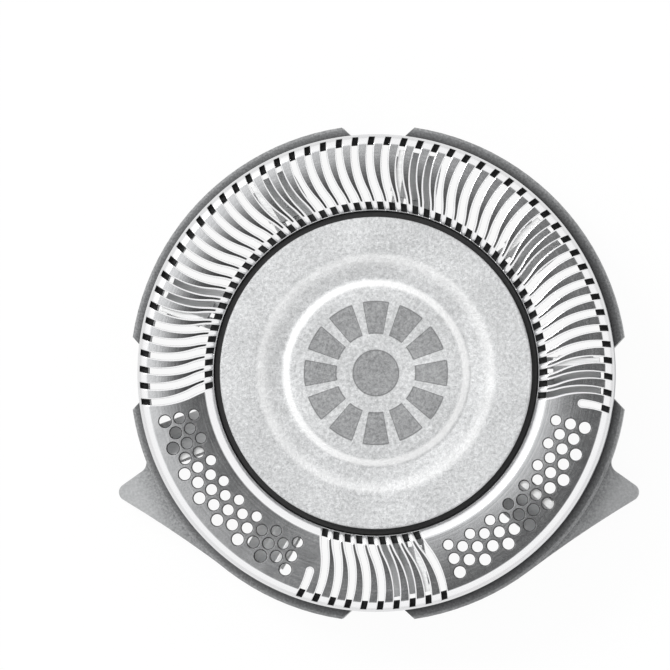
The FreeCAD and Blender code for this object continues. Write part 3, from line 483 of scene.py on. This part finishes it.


# The blind ends of the slots, over the skirt and over the inner wall, and the walls of the round
# holes take the second material, painted shade. The bars take the third, the steel with painted
# shade towards their inner ends.
def markFaces(guard, barFaceCount):
    g = guardShape
    centre = np.empty(len(guard.data.polygons) * 3)
    guard.data.polygons.foreach_get("center", centre)
    centre = centre.reshape(-1, 3) / mm
    radius, height = np.hypot(centre[:, 0], centre[:, 1]), centre[:, 2]
    # Faces that take painted shade: the slots' blind ends and the walls of the round holes
    near = g["paintedShadeNear"]
    overSkirt = (radius > g["channelOuter"] - near) & (radius < g["slotOuter"] + near)
    overWall = (radius > g["slotInner"] - near) & (radius < g["channelInner"] + near)
    paintedShadeFaces = (overSkirt | overWall) & (height > g["slotFloor"] - g["paintedShadeBelow"])
    paintedShadeFaces &= height < skinHeight(radius) - g["paintedShadeUnder"]
    holeCentres, sizes = holes()
    for field in (0, g["fieldTurn"]):
        turned = turnedAbout(np.column_stack([holeCentres, 0 * sizes]), field)[:, :2]
        for at, size in zip(turned, sizes):
            reach = np.hypot(*(centre[:, :2] - at).T)
            paintedShadeFaces |= (reach < size + g["holeLip"]) & (height > g["holeWallFrom"])
    isBar = np.arange(len(paintedShadeFaces)) < barFaceCount
    indexes = np.where(paintedShadeFaces, 1, np.where(isBar, 2, 0)).astype(np.int32)
    guard.data.polygons.foreach_set("material_index", indexes)


# The centre cover: corners of its profile, as radius, height and rounding
coverShape = {
    "centre": (0, 5.68, 0), "stepTop": (4.26, 5.68, 0.34), "stepFoot": (4.74, 5.43, 0.22),
    "slopeFoot": (4.82, 5.43, 0.16), "slopeTop": (5.90, 5.88, 0.5), "rim": (7.84, 5.88, 0.13),
    "rimUnder": (7.84, 5.42, 0.04), "plugTop": (7.20, 5.42, 0), "plugFoot": (7.20, 5.07, 0.06),
    "centreUnder": (0, 5.07, 0),
}


# The cover's profile turned round the axis, with soft corners.
def makeCover():
    profile = roundedProfile(list(coverShape.values()), steps=8, closed=False)
    cover = meshObject("cover_shell", *lathe(profile, segments=200, closed=False), crispOver=30)
    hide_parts("centre_cover")
    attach(cover, "head")
    return cover


# Pieces that keep the shape of the model: widths of their rounded edges, the distance within
# which points are merged, and in degrees what counts as flat, as an edge and as crisp
softEdges = {
    "collar": 0.12, "cutter": 0.025, "lifters": 0.02, "coupling": 0.04,
    "merged": 0.0002, "flatUnder": 0.6, "roundedOver": 30, "crispOver": 40,
}


# Points nearer to the axis than a radius in millimetres are moved straight out to it.
def clearBore(mesh, radius):
    points = np.empty(len(mesh.vertices) * 3)
    mesh.vertices.foreach_get("co", points)
    points = points.reshape(-1, 3)
    reach = np.hypot(points[:, 0], points[:, 1])
    points[:, :2] *= np.maximum(radius * mm / reach, 1)[:, None]
    mesh.vertices.foreach_set("co", points.ravel())
    mesh.update()


# A copy of a node's mesh with its loose triangles merged and flat areas made whole, then a small
# rounding of a given width on every real edge.
def softenedCopy(node, name, body, width, segments=2):
    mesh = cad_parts[node].data.copy()
    mesh.name = name
    mesh.materials.clear()
    work = bmesh.new()
    work.from_mesh(mesh)
    bmesh.ops.remove_doubles(work, verts=work.verts, dist=softEdges["merged"] * mm)
    bmesh.ops.dissolve_limit(work, angle_limit=math.radians(softEdges["flatUnder"]),
                             verts=work.verts, edges=work.edges)
    work.to_mesh(mesh)
    work.free()
    if node == "collar":  # its ledge ends with the guard's foot
        clearBore(mesh, guardShape["footInner"])
    for attribute in ("custom_normal", "sharp_edge", "sharp_face"):
        if attribute in mesh.attributes:
            mesh.attributes.remove(mesh.attributes[attribute])
    shadeSmooth(mesh, softEdges["crispOver"])
    piece = addObject(name, mesh)
    bevel = piece.modifiers.new("softEdges", "BEVEL")
    bevel.width = width * mm
    bevel.segments = segments
    bevel.limit_method = "ANGLE"
    bevel.angle_limit = math.radians(softEdges["roundedOver"])
    bevel.harden_normals = True
    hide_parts(node)
    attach(piece, body)
    return piece


guard, barFaceCount = makeGuard()
print("guard:", len(guard.data.polygons), "faces")
cover = makeCover()
print("cover:", len(cover.data.polygons), "faces")
collar = softenedCopy("collar", "collar_ring", "head", softEdges["collar"], 3)
cutter = softenedCopy("cutter", "cutter_disc", "cutter_unit", softEdges["cutter"])
lifters = softenedCopy("lifter_ring", "lifter_sheet", "cutter_unit",
                       softEdges["lifters"])
coupling = softenedCopy("drive_coupling", "coupling_body", "cutter_unit",
                        softEdges["coupling"])
print("softened copies made")


# Materials. Widths of grains, lines and clouds are millimetres. The finest real ones, such as
# grit and mould grain, are drawn about 0.1 mm wide, which is as coarse as they need to show.

# Linear light from an sRGB hex value: v / 12.92 up to 0.04045, else ((v + 0.055) / 1.055) ^ 2.4.
def linear(hexColour):
    channels = np.array([int(hexColour[k:k + 2], 16) / 255 for k in (0, 2, 4)])
    value = np.where(channels <= 0.04045, channels / 12.92, ((channels + 0.055) / 1.055) ** 2.4)
    return (*value.tolist(), 1.0)


# Scale of a noise whose grains are this wide: one over the width in metres.
def scaleFor(width):
    return 1 / (width * mm)


# Set a node's sockets to values, or link other sockets into them.
def feed(tree, node, inputs):
    for key, given in inputs.items():
        if isinstance(given, bpy.types.NodeSocket):
            tree.links.new(given, node.inputs[key])
        else:
            node.inputs[key].default_value = given


# Add a node, set its properties and a ramp's stops, feed its sockets and give its outputs.
# Map Range takes 0 value, 1 and 2 its start and finish, 3 and 4 what they become. Mix takes
# 0 factor, 2 and 3 numbers, or 6 and 7 colours.
def addNode(tree, kind, inputs=None, stops=(), **settings):
    node = tree.nodes.new("ShaderNode" + kind)
    for key, setting in settings.items():
        setattr(node, key, setting)
    if stops:
        elements = node.color_ramp.elements
        while len(elements) < len(stops):
            elements.new(0.5)
        for element, (position, colour) in zip(elements, stops):
            element.position = position
            element.color = linear(colour)
    feed(tree, node, inputs or {})
    return node.outputs


# A new material and its node tree.
def newMaterial(name):
    material = bpy.data.materials.new(name)
    material.use_nodes = True
    return material, material.node_tree


# Feed a material's shader its colour, a relief as high as its finish says, and the other inputs.
def finished(material, colour, relief, finish, others):
    tree = material.node_tree
    bump = addNode(tree, "Bump", {"Height": relief, "Strength": finish["bump"],
                                  "Distance": finish["bumpHeight"] * mm})[0]
    feed(tree, tree.nodes["Principled BSDF"], {"Base Color": colour, "Normal": bump, **others})
    return material


# Distance from the head's axis in metres, the root of x^2 + y^2, and the place's x, y and z.
def axisDistance(tree, place):
    axes = addNode(tree, "SeparateXYZ", {0: place})
    flat = addNode(tree, "CombineXYZ", {0: axes["X"], 1: axes["Y"]})[0]
    return addNode(tree, "VectorMath", {0: flat}, operation="LENGTH")["Value"], axes


# How far a value is in a band: the way from the first start to its finish, times that from the
# second start to its finish, each held between 0 and 1. All are millimetres.
def inBand(tree, value, *ways):
    parts = [addNode(tree, "MapRange", {0: value, 1: start * mm, 2: finish * mm})[0]
             for start, finish in ways]
    return addNode(tree, "Math", dict(enumerate(parts)), operation="MULTIPLY")[0]


# Drawn stainless steel. The track is ground in circles: fine rings and faint smears break the
# mirror, so that the flats read as satin grey while bevels and shoulders stay bright. The skirt
# below is left as drawn, duller and greyer, with upright draw lines 2/15 mm wide, whose scale
# counts them over a radian of the skirt. Rounded and bevelled edges are polished white. Painted
# shade darkens the track towards the axis, on the bars down to their thin inner ends, and painted
# light brightens it towards the outer shoulder.
steelFinish = {
    "ring": {"Scale": scaleFor(1 / 9), "Detail": 4},
    "pit": {"Scale": scaleFor(1 / 11), "Detail": 2},
    "smear": {"Scale": scaleFor(1 / 0.7), "Detail": 5, "Roughness": 0.7},
    "drawLine": {"Scale": guardShape["radius"] / (2 / 15), "Detail": 5, "Roughness": 0.7},
    "pits": 0.55, "smears": 0.45, "drawnSmears": 0.4,
    "drawnUpTo": 5.42, "groundFrom": 5.60, "polishedFrom": 0.985, "polished": 0.955,
    "track": [(0.3, "C4C5C7"), (0.7, "E0E1E2")], "skirt": [(0.35, "85878A"), (0.65, "B9BBBE")],
    "edge": "F4F4F5", "paintedShadeFrom": 9.2, "paintedShadeTo": 10.9, "paintedShadeCurve": 1.5, "outerPaintedLight": 1.15,
    "trackRough": {1: 0.3, 2: 0.7, 3: 0.12, 4: 0.24},
    "skirtRough": {1: 0.3, 2: 0.7, 3: 0.26, 4: 0.4}, "bump": 0.25, "bumpHeight": 0.008,
}


def guardSteel(name, innerPaintedShade):
    s = steelFinish
    material, tree = newMaterial(name)
    place = addNode(tree, "TexCoord")["Object"]
    radius, axes = axisDistance(tree, place)
    rings = addNode(tree, "TexNoise", {"W": radius, **s["ring"]}, noise_dimensions="1D")[0]
    pits = addNode(tree, "TexNoise", {"Vector": place, **s["pit"]})[0]
    smears = addNode(tree, "TexNoise", {"Vector": place, **s["smear"]})[0]
    grit = addNode(tree, "Mix", {0: s["pits"], 2: rings, 3: pits})[0]
    worn = addNode(tree, "Mix", {0: s["smears"], 2: grit, 3: smears})[0]
    angle = addNode(tree, "Math", {0: axes["Y"], 1: axes["X"]}, operation="ARCTAN2")[0]
    drawLines = addNode(tree, "TexNoise", {"W": angle, **s["drawLine"]}, noise_dimensions="1D")[0]
    drawn = addNode(tree, "Mix", {0: s["drawnSmears"], 2: drawLines, 3: smears})[0]

    track = addNode(tree, "ValToRGB", {0: worn}, s["track"])[0]
    # Painted shade towards the axis and painted light outwards: the track's colour is scaled by the
    # radius
    outwards = addNode(tree, "MapRange", {0: radius, 1: s["paintedShadeFrom"] * mm, 2: s["paintedShadeTo"] * mm})[0]
    outwards = addNode(tree, "Math", {0: outwards, 1: s["paintedShadeCurve"]}, operation="POWER")[0]
    tone = addNode(tree, "MapRange", {0: outwards, 3: innerPaintedShade, 4: s["outerPaintedLight"]})[0]
    track = addNode(tree, "VectorMath", {0: track, "Scale": tone}, operation="SCALE")[0]
    normal = addNode(tree, "NewGeometry")["Normal"]
    upward = addNode(tree, "SeparateXYZ", {0: normal})["Z"]
    polished = addNode(tree, "MapRange", {0: upward, 1: s["polishedFrom"], 2: s["polished"]})[0]
    track = addNode(tree, "Mix", {0: polished, 6: track, 7: linear(s["edge"])}, data_type="RGBA")[2]
    skirt = addNode(tree, "ValToRGB", {0: drawn}, s["skirt"])[0]
    ground = addNode(tree, "MapRange",
                     {0: axes["Z"], 1: s["drawnUpTo"] * mm, 2: s["groundFrom"] * mm})[0]
    colour = addNode(tree, "Mix", {0: ground, 6: skirt, 7: track}, data_type="RGBA")[2]
    trackRough = addNode(tree, "MapRange", {0: worn, **s["trackRough"]})[0]
    skirtRough = addNode(tree, "MapRange", {0: drawn, **s["skirtRough"]})[0]
    rough = addNode(tree, "Mix", {0: ground, 2: skirtRough, 3: trackRough})[0]
    return finished(material, colour, grit, s, {"Roughness": rough, "Metallic": 1})


# Painted shade on the steel in the slots' blind ends and round the holes: dull and nearly black,
# with a fine grain, so that each slot ends in a dark square and each hole has a thin dark rim.
slotEndShadeFinish = {
    "shadeGrain": {"Scale": scaleFor(1 / 6), "Detail": 3}, "colours": [(0.35, "1C1C1D"), (0.7, "3C3D3E")],
    "bump": 0.3, "bumpHeight": 0.02,
}


def slotEndShadeSteel():
    p = slotEndShadeFinish
    material, tree = newMaterial("steelWithPaintedShadeInSlotEnds")
    place = addNode(tree, "TexCoord")["Object"]
    shadeGrain = addNode(tree, "TexNoise", {"Vector": place, **p["shadeGrain"]})[0]
    # Nearly black colour: painted shade in the slot ends and on the hole walls
    colour = addNode(tree, "ValToRGB", {0: shadeGrain}, p["colours"])[0]
    return finished(material, colour, shadeGrain, p, {"Roughness": 0.6, "Metallic": 0.5})


# Silver-lacquered moulded plastic over a spark-eroded mould: a pale pebbled skin, with painted
# highlights on the step round the centre and on the rim of the slope. The centre carries a plain
# printed ring of grey blocks round a dot, each with a darker printed edge.
silverFinish = {
    "pebble": {"Scale": scaleFor(1 / 5.6), "Detail": 3, "Roughness": 0.6},
    "flake": {"Scale": scaleFor(1 / 14), "Detail": 2}, "flakes": 0.4,
    "cloud": {"Scale": scaleFor(1 / 0.45), "Detail": 3}, "clouds": 0.2,
    "skin": [(0.34, "A3A4A5"), (0.5, "C4C5C6"), (0.64, "E0E1E2")], "paintedHighlight": "FFFFFF",
    "step": [(4.28, 4.42), (4.76, 4.62)], "stepHighlight": 0.65,
    "rim": [(5.30, 5.75), (6.10, 5.90)], "rimHighlight": 0.35,
    "blocks": 12.0, "blockOuter": 3.60, "blockInner": 2.00, "dot": 1.15, "blur": 0.045,
    "blockFrom": -0.66, "blockFull": -0.46, "inkFrom": 0.35, "inkFull": 0.65,
    "ink": [(0.36, "727374"), (0.62, "A4A5A6")], "inkEdge": "626364", "inkEdgeStrength": 3.2,
    "bump": 1.0, "bumpHeight": 0.1,
}


def silverPlastic():
    s = silverFinish
    material, tree = newMaterial("silverLacquerOnMouldedPlastic")
    place = addNode(tree, "TexCoord")["Object"]
    pebble = addNode(tree, "TexNoise", {"Vector": place, **s["pebble"]})[0]
    flake = addNode(tree, "TexNoise", {"Vector": place, **s["flake"]})[0]
    cloud = addNode(tree, "TexNoise", {"Vector": place, **s["cloud"]})[0]
    grain = addNode(tree, "Mix", {0: s["flakes"], 2: pebble, 3: flake})[0]
    tone = addNode(tree, "Mix", {0: s["clouds"], 2: grain, 3: cloud})[0]
    skin = addNode(tree, "ValToRGB", {0: tone}, s["skin"])[0]
    radius, axes = axisDistance(tree, place)
    # Painted highlights: the skin turns white on the step round the centre and on the rim of the
    # slope
    highlightOnStep = addNode(tree, "Math", {0: inBand(tree, radius, *s["step"]), 1: s["stepHighlight"]},
                     operation="MULTIPLY")[0]
    highlightOnRim = addNode(tree, "Math", {0: inBand(tree, radius, *s["rim"]), 1: s["rimHighlight"]},
                    operation="MULTIPLY")[0]
    paintedHighlight = addNode(tree, "Math", {0: highlightOnStep, 1: highlightOnRim}, operation="MAXIMUM")[0]
    skin = addNode(tree, "Mix", {0: paintedHighlight, 6: skin, 7: linear(s["paintedHighlight"])}, data_type="RGBA")[2]

    # A block lies between two circles and where the cosine of twelve times the angle is high
    angle = addNode(tree, "Math", {0: axes["Y"], 1: axes["X"]}, operation="ARCTAN2")[0]
    wave = addNode(tree, "Math", {0: angle, 1: s["blocks"]}, operation="MULTIPLY")[0]
    wave = addNode(tree, "Math", {0: wave}, operation="COSINE")[0]
    inWave = addNode(tree, "MapRange", {0: wave, 1: s["blockFrom"], 2: s["blockFull"]})[0]
    blur = s["blur"]
    inRing = inBand(tree, radius, (s["blockOuter"] + blur, s["blockOuter"] - blur),
                    (s["blockInner"] - blur, s["blockInner"] + blur))
    block = addNode(tree, "Math", {0: inRing, 1: inWave}, operation="MULTIPLY")[0]
    dot = addNode(tree, "MapRange",
                  {0: radius, 1: (s["dot"] + blur) * mm, 2: (s["dot"] - blur) * mm})[0]
    ink = addNode(tree, "Math", {0: block, 1: dot}, operation="MAXIMUM")[0]
    bare = addNode(tree, "Math", {0: 1.0, 1: ink}, operation="SUBTRACT")[0]
    edge = addNode(tree, "Math", {0: ink, 1: bare}, operation="MULTIPLY")[0]
    edge = addNode(tree, "Math", {0: edge, 1: s["inkEdgeStrength"]}, operation="MULTIPLY")[0]
    inkColour = addNode(tree, "ValToRGB", {0: tone}, s["ink"])[0]
    covered = addNode(tree, "MapRange", {0: ink, 1: s["inkFrom"], 2: s["inkFull"]})[0]
    colour = addNode(tree, "Mix", {0: covered, 6: skin, 7: inkColour}, data_type="RGBA")[2]
    colour = addNode(tree, "Mix", {0: edge, 6: colour, 7: linear(s["inkEdge"])},
                     data_type="RGBA")[2]
    return finished(material, colour, grain, s, {"Roughness": 0.46, "Metallic": 0.1})


# Grey ABS, moulded and lightly translucent: a speckled satin skin, darker in its grain. Painted
# light makes the free wings paler towards their tips, and painted shade darkens the groove beside
# the guard.
greyFinish = {
    "speck": {"Scale": scaleFor(1 / 8.5), "Detail": 4, "Roughness": 0.75},
    "cloud": {"Scale": scaleFor(1 / 0.38), "Detail": 2}, "clouds": 0.12,
    "skin": [(0.35, "6E6F70"), (0.5, "8E8F90"), (0.65, "ACADAE")],
    "tipFrom": 12.55, "tipFull": 13.5, "tip": "CFD0D1", "tipStrength": 0.45,
    "grooveOuter": 12.6, "grooveInner": 12.05, "grooveFrom": 2.0, "grooveFull": 2.4,
    "grooveShade": "1E1E1F", "grooveShadeStrength": 0.85, "bump": 0.5, "bumpHeight": 0.03,
}


def greyPlastic():
    s = greyFinish
    material, tree = newMaterial("greyTranslucentMouldedPlastic")
    place = addNode(tree, "TexCoord")["Object"]
    speck = addNode(tree, "TexNoise", {"Vector": place, **s["speck"]})[0]
    cloud = addNode(tree, "TexNoise", {"Vector": place, **s["cloud"]})[0]
    tone = addNode(tree, "Mix", {0: s["clouds"], 2: speck, 3: cloud})[0]
    skin = addNode(tree, "ValToRGB", {0: tone}, s["skin"])[0]
    radius, axes = axisDistance(tree, place)
    # Painted light: the skin turns paler towards the wing tips
    paintedTipLight = addNode(tree, "MapRange", {0: radius, 1: s["tipFrom"] * mm, 2: s["tipFull"] * mm})[0]
    paintedTipLight = addNode(tree, "Math", {0: paintedTipLight, 1: s["tipStrength"]}, operation="MULTIPLY")[0]
    skin = addNode(tree, "Mix", {0: paintedTipLight, 6: skin, 7: linear(s["tip"])}, data_type="RGBA")[2]
    # Painted shade in the groove beside the guard, on the collar's upper faces only
    upper = addNode(tree, "MapRange",
                    {0: axes["Z"], 1: s["grooveFrom"] * mm, 2: s["grooveFull"] * mm})[0]
    upper = addNode(tree, "Math", {0: upper, 1: s["grooveShadeStrength"]}, operation="MULTIPLY")[0]
    beside = addNode(tree, "MapRange",
                     {0: radius, 1: s["grooveOuter"] * mm, 2: s["grooveInner"] * mm})[0]
    grooveShade = addNode(tree, "Math", {0: beside, 1: upper}, operation="MULTIPLY")[0]
    colour = addNode(tree, "Mix", {0: grooveShade, 6: skin, 7: linear(s["grooveShade"])}, data_type="RGBA")[2]
    return finished(material, colour, speck, s, {"Roughness": 0.42, "IOR": 1.53})


# Black ABS, moulded, satin: nearly black with a soft sheen on its edges.
blackFinish = {
    "grain": {"Scale": scaleFor(1 / 8), "Detail": 2}, "colours": [(0.3, "0C0C0D"), (0.7, "1B1B1C")],
    "bump": 0.2, "bumpHeight": 0.01,
}


def blackPlastic():
    b = blackFinish
    material, tree = newMaterial("blackMouldedPlastic")
    place = addNode(tree, "TexCoord")["Object"]
    grain = addNode(tree, "TexNoise", {"Vector": place, **b["grain"]})[0]
    colour = addNode(tree, "ValToRGB", {0: grain}, b["colours"])[0]
    return finished(material, colour, grain, b, {"Roughness": 0.45, "IOR": 1.53})


# Hardened stainless steel, stamped and then tumbled: paler and more matt than the guard, with
# faint straight rolling lines, twelve times as long as they are wide.
cutterFinish = {
    "lines": {"Scale": scaleFor(1 / 0.9), "Detail": 4}, "lengthToWidth": 12,
    "colours": [(0.3, "EBECEC"), (0.7, "F8F8F8")], "rough": {1: 0.3, 2: 0.7, 3: 0.5, 4: 0.65},
    "bump": 0.2, "bumpHeight": 0.006,
}


def cutterSteel():
    c = cutterFinish
    material, tree = newMaterial("tumbledStampedStainlessSteel")
    place = addNode(tree, "TexCoord")["Object"]
    drawnOut = addNode(tree, "Mapping", {"Vector": place, "Scale": (1, c["lengthToWidth"], 1)})[0]
    lines = addNode(tree, "TexNoise", {"Vector": drawnOut, **c["lines"]})[0]
    colour = addNode(tree, "ValToRGB", {0: lines}, c["colours"])[0]
    rough = addNode(tree, "MapRange", {0: lines, **c["rough"]})[0]
    return finished(material, colour, lines, c, {"Roughness": rough, "Metallic": 1})


# Off-white acetal, moulded: smooth and waxy, with faint flow clouds.
acetalFinish = {
    "cloud": {"Scale": scaleFor(2.0), "Detail": 3}, "colours": [(0.3, "DCDAD4"), (0.7, "EBEAE5")],
    "grain": {"Scale": scaleFor(1 / 6), "Detail": 2}, "bump": 0.12, "bumpHeight": 0.01,
}


def couplingPlastic():
    a = acetalFinish
    material, tree = newMaterial("offWhiteMouldedAcetal")
    place = addNode(tree, "TexCoord")["Object"]
    cloud = addNode(tree, "TexNoise", {"Vector": place, **a["cloud"]})[0]
    grain = addNode(tree, "TexNoise", {"Vector": place, **a["grain"]})[0]
    colour = addNode(tree, "ValToRGB", {0: cloud}, a["colours"])[0]
    return finished(material, colour, grain, a, {"Roughness": 0.38, "IOR": 1.48})


# Give a piece its materials in order.
def dress(piece, *materials):
    piece.data.materials.clear()
    for material in materials:
        piece.data.materials.append(material)


# Give a node of the model one material in all its slots.
def dressNode(node, material):
    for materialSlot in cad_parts[node].material_slots:
        materialSlot.material = material


steel = cutterSteel()
# The bars take a darker copy of the guard's steel, painted shade towards their inner ends
dress(guard, guardSteel("drawnGroundStainlessSteel", 1.0), slotEndShadeSteel(),
      guardSteel("drawnGroundSteelWithPaintedShadeOnBars", 0.36))
markFaces(guard, barFaceCount)
dress(cover, silverPlastic())
dress(collar, greyPlastic())
dress(cutter, steel)
dress(lifters, steel)
dress(coupling, couplingPlastic())
dressNode("centre_hub", blackPlastic())
print("materials made")


# Stage, light and camera

# A white floor: to the camera it is nearly all glow, so that it reads white, and the rest takes
# the object's shadow. Gloss sees a grey one, so that upright steel doesn't vanish in the white.
floorSetup = {"half": 900, "colour": "F4F4F4", "glow": 0.95, "glossyBrightness": 0.84}


def makeFloor():
    half = floorSetup["half"]
    points = np.array([[-half, -half, 0], [half, -half, 0], [half, half, 0], [-half, half, 0]])
    floor = meshObject("studio_floor", points, [[[0, 1, 2, 3]]])
    material, tree = newMaterial("whiteStudioFloor")
    matt = tree.nodes["Principled BSDF"]
    feed(tree, matt, {"Base Color": linear(floorSetup["colour"]), "Roughness": 0.9})
    rays = addNode(tree, "LightPath")
    glossy = rays["Is Glossy Ray"]
    seen = addNode(tree, "Math", {0: rays["Is Camera Ray"], 1: glossy}, operation="MAXIMUM")[0]
    seen = addNode(tree, "Math", {0: seen, 1: rays["Is Transmission Ray"]}, operation="MAXIMUM")[0]
    brightness = addNode(tree, "Mix", {0: glossy, 2: 1.0, 3: floorSetup["glossyBrightness"]})[0]
    glow = addNode(tree, "Emission", {"Color": linear("FFFFFF"), "Strength": brightness})[0]
    share = addNode(tree, "Math", {0: seen, 1: floorSetup["glow"]}, operation="MULTIPLY")[0]
    surface = addNode(tree, "MixShader", {0: share, 1: matt.outputs[0], 2: glow})[0]
    feed(tree, tree.nodes["Material Output"], {"Surface": surface})
    dress(floor, material)


# A studio sky: greyer just above the floor, white from 20 degrees up to 60, and above 74 a dark
# ceiling that lightens towards the window at the upper left. The camera sees plain white. Heights
# are sines of the angle above the horizon, and nearness to the window is a cosine.
skySetup = {
    "greyFrom": 0.05, "whiteFrom": 0.35, "grey": 0.75, "whiteUpTo": 0.86, "ceilingFrom": 0.96,
    "ceiling": 0.106, "window": (-0.80, 0.42, 0.43), "windowFrom": 0.34, "windowFull": 0.58,
    "windowCurve": 3.0, "windowLight": 1.18,
}


def makeSky():
    s = skySetup
    world = bpy.data.worlds.new("studioSky")
    world.use_nodes = True
    bpy.context.scene.world = world
    tree = world.node_tree
    direction = addNode(tree, "TexCoord")["Generated"]
    height = addNode(tree, "SeparateXYZ", {0: direction})["Z"]
    near = addNode(tree, "VectorMath", {0: direction, 1: s["window"]},
                   operation="DOT_PRODUCT")["Value"]
    near = addNode(tree, "MapRange", {0: near, 1: s["windowFrom"], 2: s["windowFull"]})[0]
    near = addNode(tree, "Math", {0: near, 1: s["windowCurve"]}, operation="POWER")[0]
    ceiling = addNode(tree, "MapRange", {0: near, 3: s["ceiling"], 4: s["windowLight"]})[0]
    overhead = addNode(tree, "MapRange", {0: height, 1: s["whiteUpTo"], 2: s["ceilingFrom"]})[0]
    level = addNode(tree, "Mix", {0: overhead, 2: 1.0, 3: ceiling})[0]
    low = addNode(tree, "MapRange",
                  {0: height, 1: s["greyFrom"], 2: s["whiteFrom"], 3: s["grey"], 4: 1.0})[0]
    level = addNode(tree, "Math", {0: level, 1: low}, operation="MULTIPLY")[0]
    toCamera = addNode(tree, "LightPath")["Is Camera Ray"]
    strength = addNode(tree, "Mix", {0: toCamera, 2: level, 3: 1.0})[0]
    feed(tree, tree.nodes["Background"], {"Color": linear("FFFFFF"), "Strength": strength})


# A soft round lamp at the upper left, aimed at the head. Its places and size are metres.
lampSetup = {"place": (-0.32, 0.26, 0.40), "aim": (0, 0, 0.004), "size": 0.22, "power": 1.6}


def makeLamp():
    data = bpy.data.lights.new("windowLamp", "AREA")
    data.shape = "DISK"
    data.size = lampSetup["size"]
    data.energy = lampSetup["power"]
    lamp = addObject("windowLamp", data)
    lamp.location = lampSetup["place"]
    towards = Vector(lampSetup["aim"]) - Vector(lampSetup["place"])
    lamp.rotation_euler = towards.to_track_quat("-Z", "Y").to_euler()


# The camera stands almost straight above and leans a little to the right. One of the photograph's
# 670 pixels is 0.05025 mm at the guard's edge, and the guard's axis is at (376, 373). The lens is
# sensor * distance / the width that the image spans. Distance and clips are metres.
cameraSetup = {"image": 670, "pixel": 0.05025, "axisAt": (376, 373), "level": 5.5, "sensor": 36,
               "leanRight": 2.2, "leanDown": 0.4, "distance": 0.8, "clips": (0.01, 10)}


def makeCamera():
    c = cameraSetup
    pixel, half = c["pixel"] * mm, c["image"] / 2
    data = bpy.data.cameras.new("photoCamera")
    data.sensor_width = c["sensor"]
    data.lens = c["sensor"] * c["distance"] / (c["image"] * pixel)
    data.clip_start, data.clip_end = c["clips"]
    camera = addObject("photoCamera", data)
    across, down = c["axisAt"]
    target = Vector(((half - across) * pixel, (down - half) * pixel, c["level"] * mm))
    leanRight, leanDown = math.radians(c["leanRight"]), math.radians(c["leanDown"])
    back = Vector((math.sin(leanRight), -math.sin(leanDown), 1)).normalized()
    right = Vector((0, 1, 0)).cross(back).normalized()
    up = back.cross(right)
    place = target + back * c["distance"]
    rows = [[right[k], up[k], back[k], place[k]] for k in range(3)]
    camera.matrix_world = Matrix(rows + [[0, 0, 0, 1]])
    bpy.context.scene.camera = camera


makeFloor()
makeSky()
makeLamp()
makeCamera()
bpy.context.scene.view_settings.view_transform = "Standard"
print("stage, light and camera made")
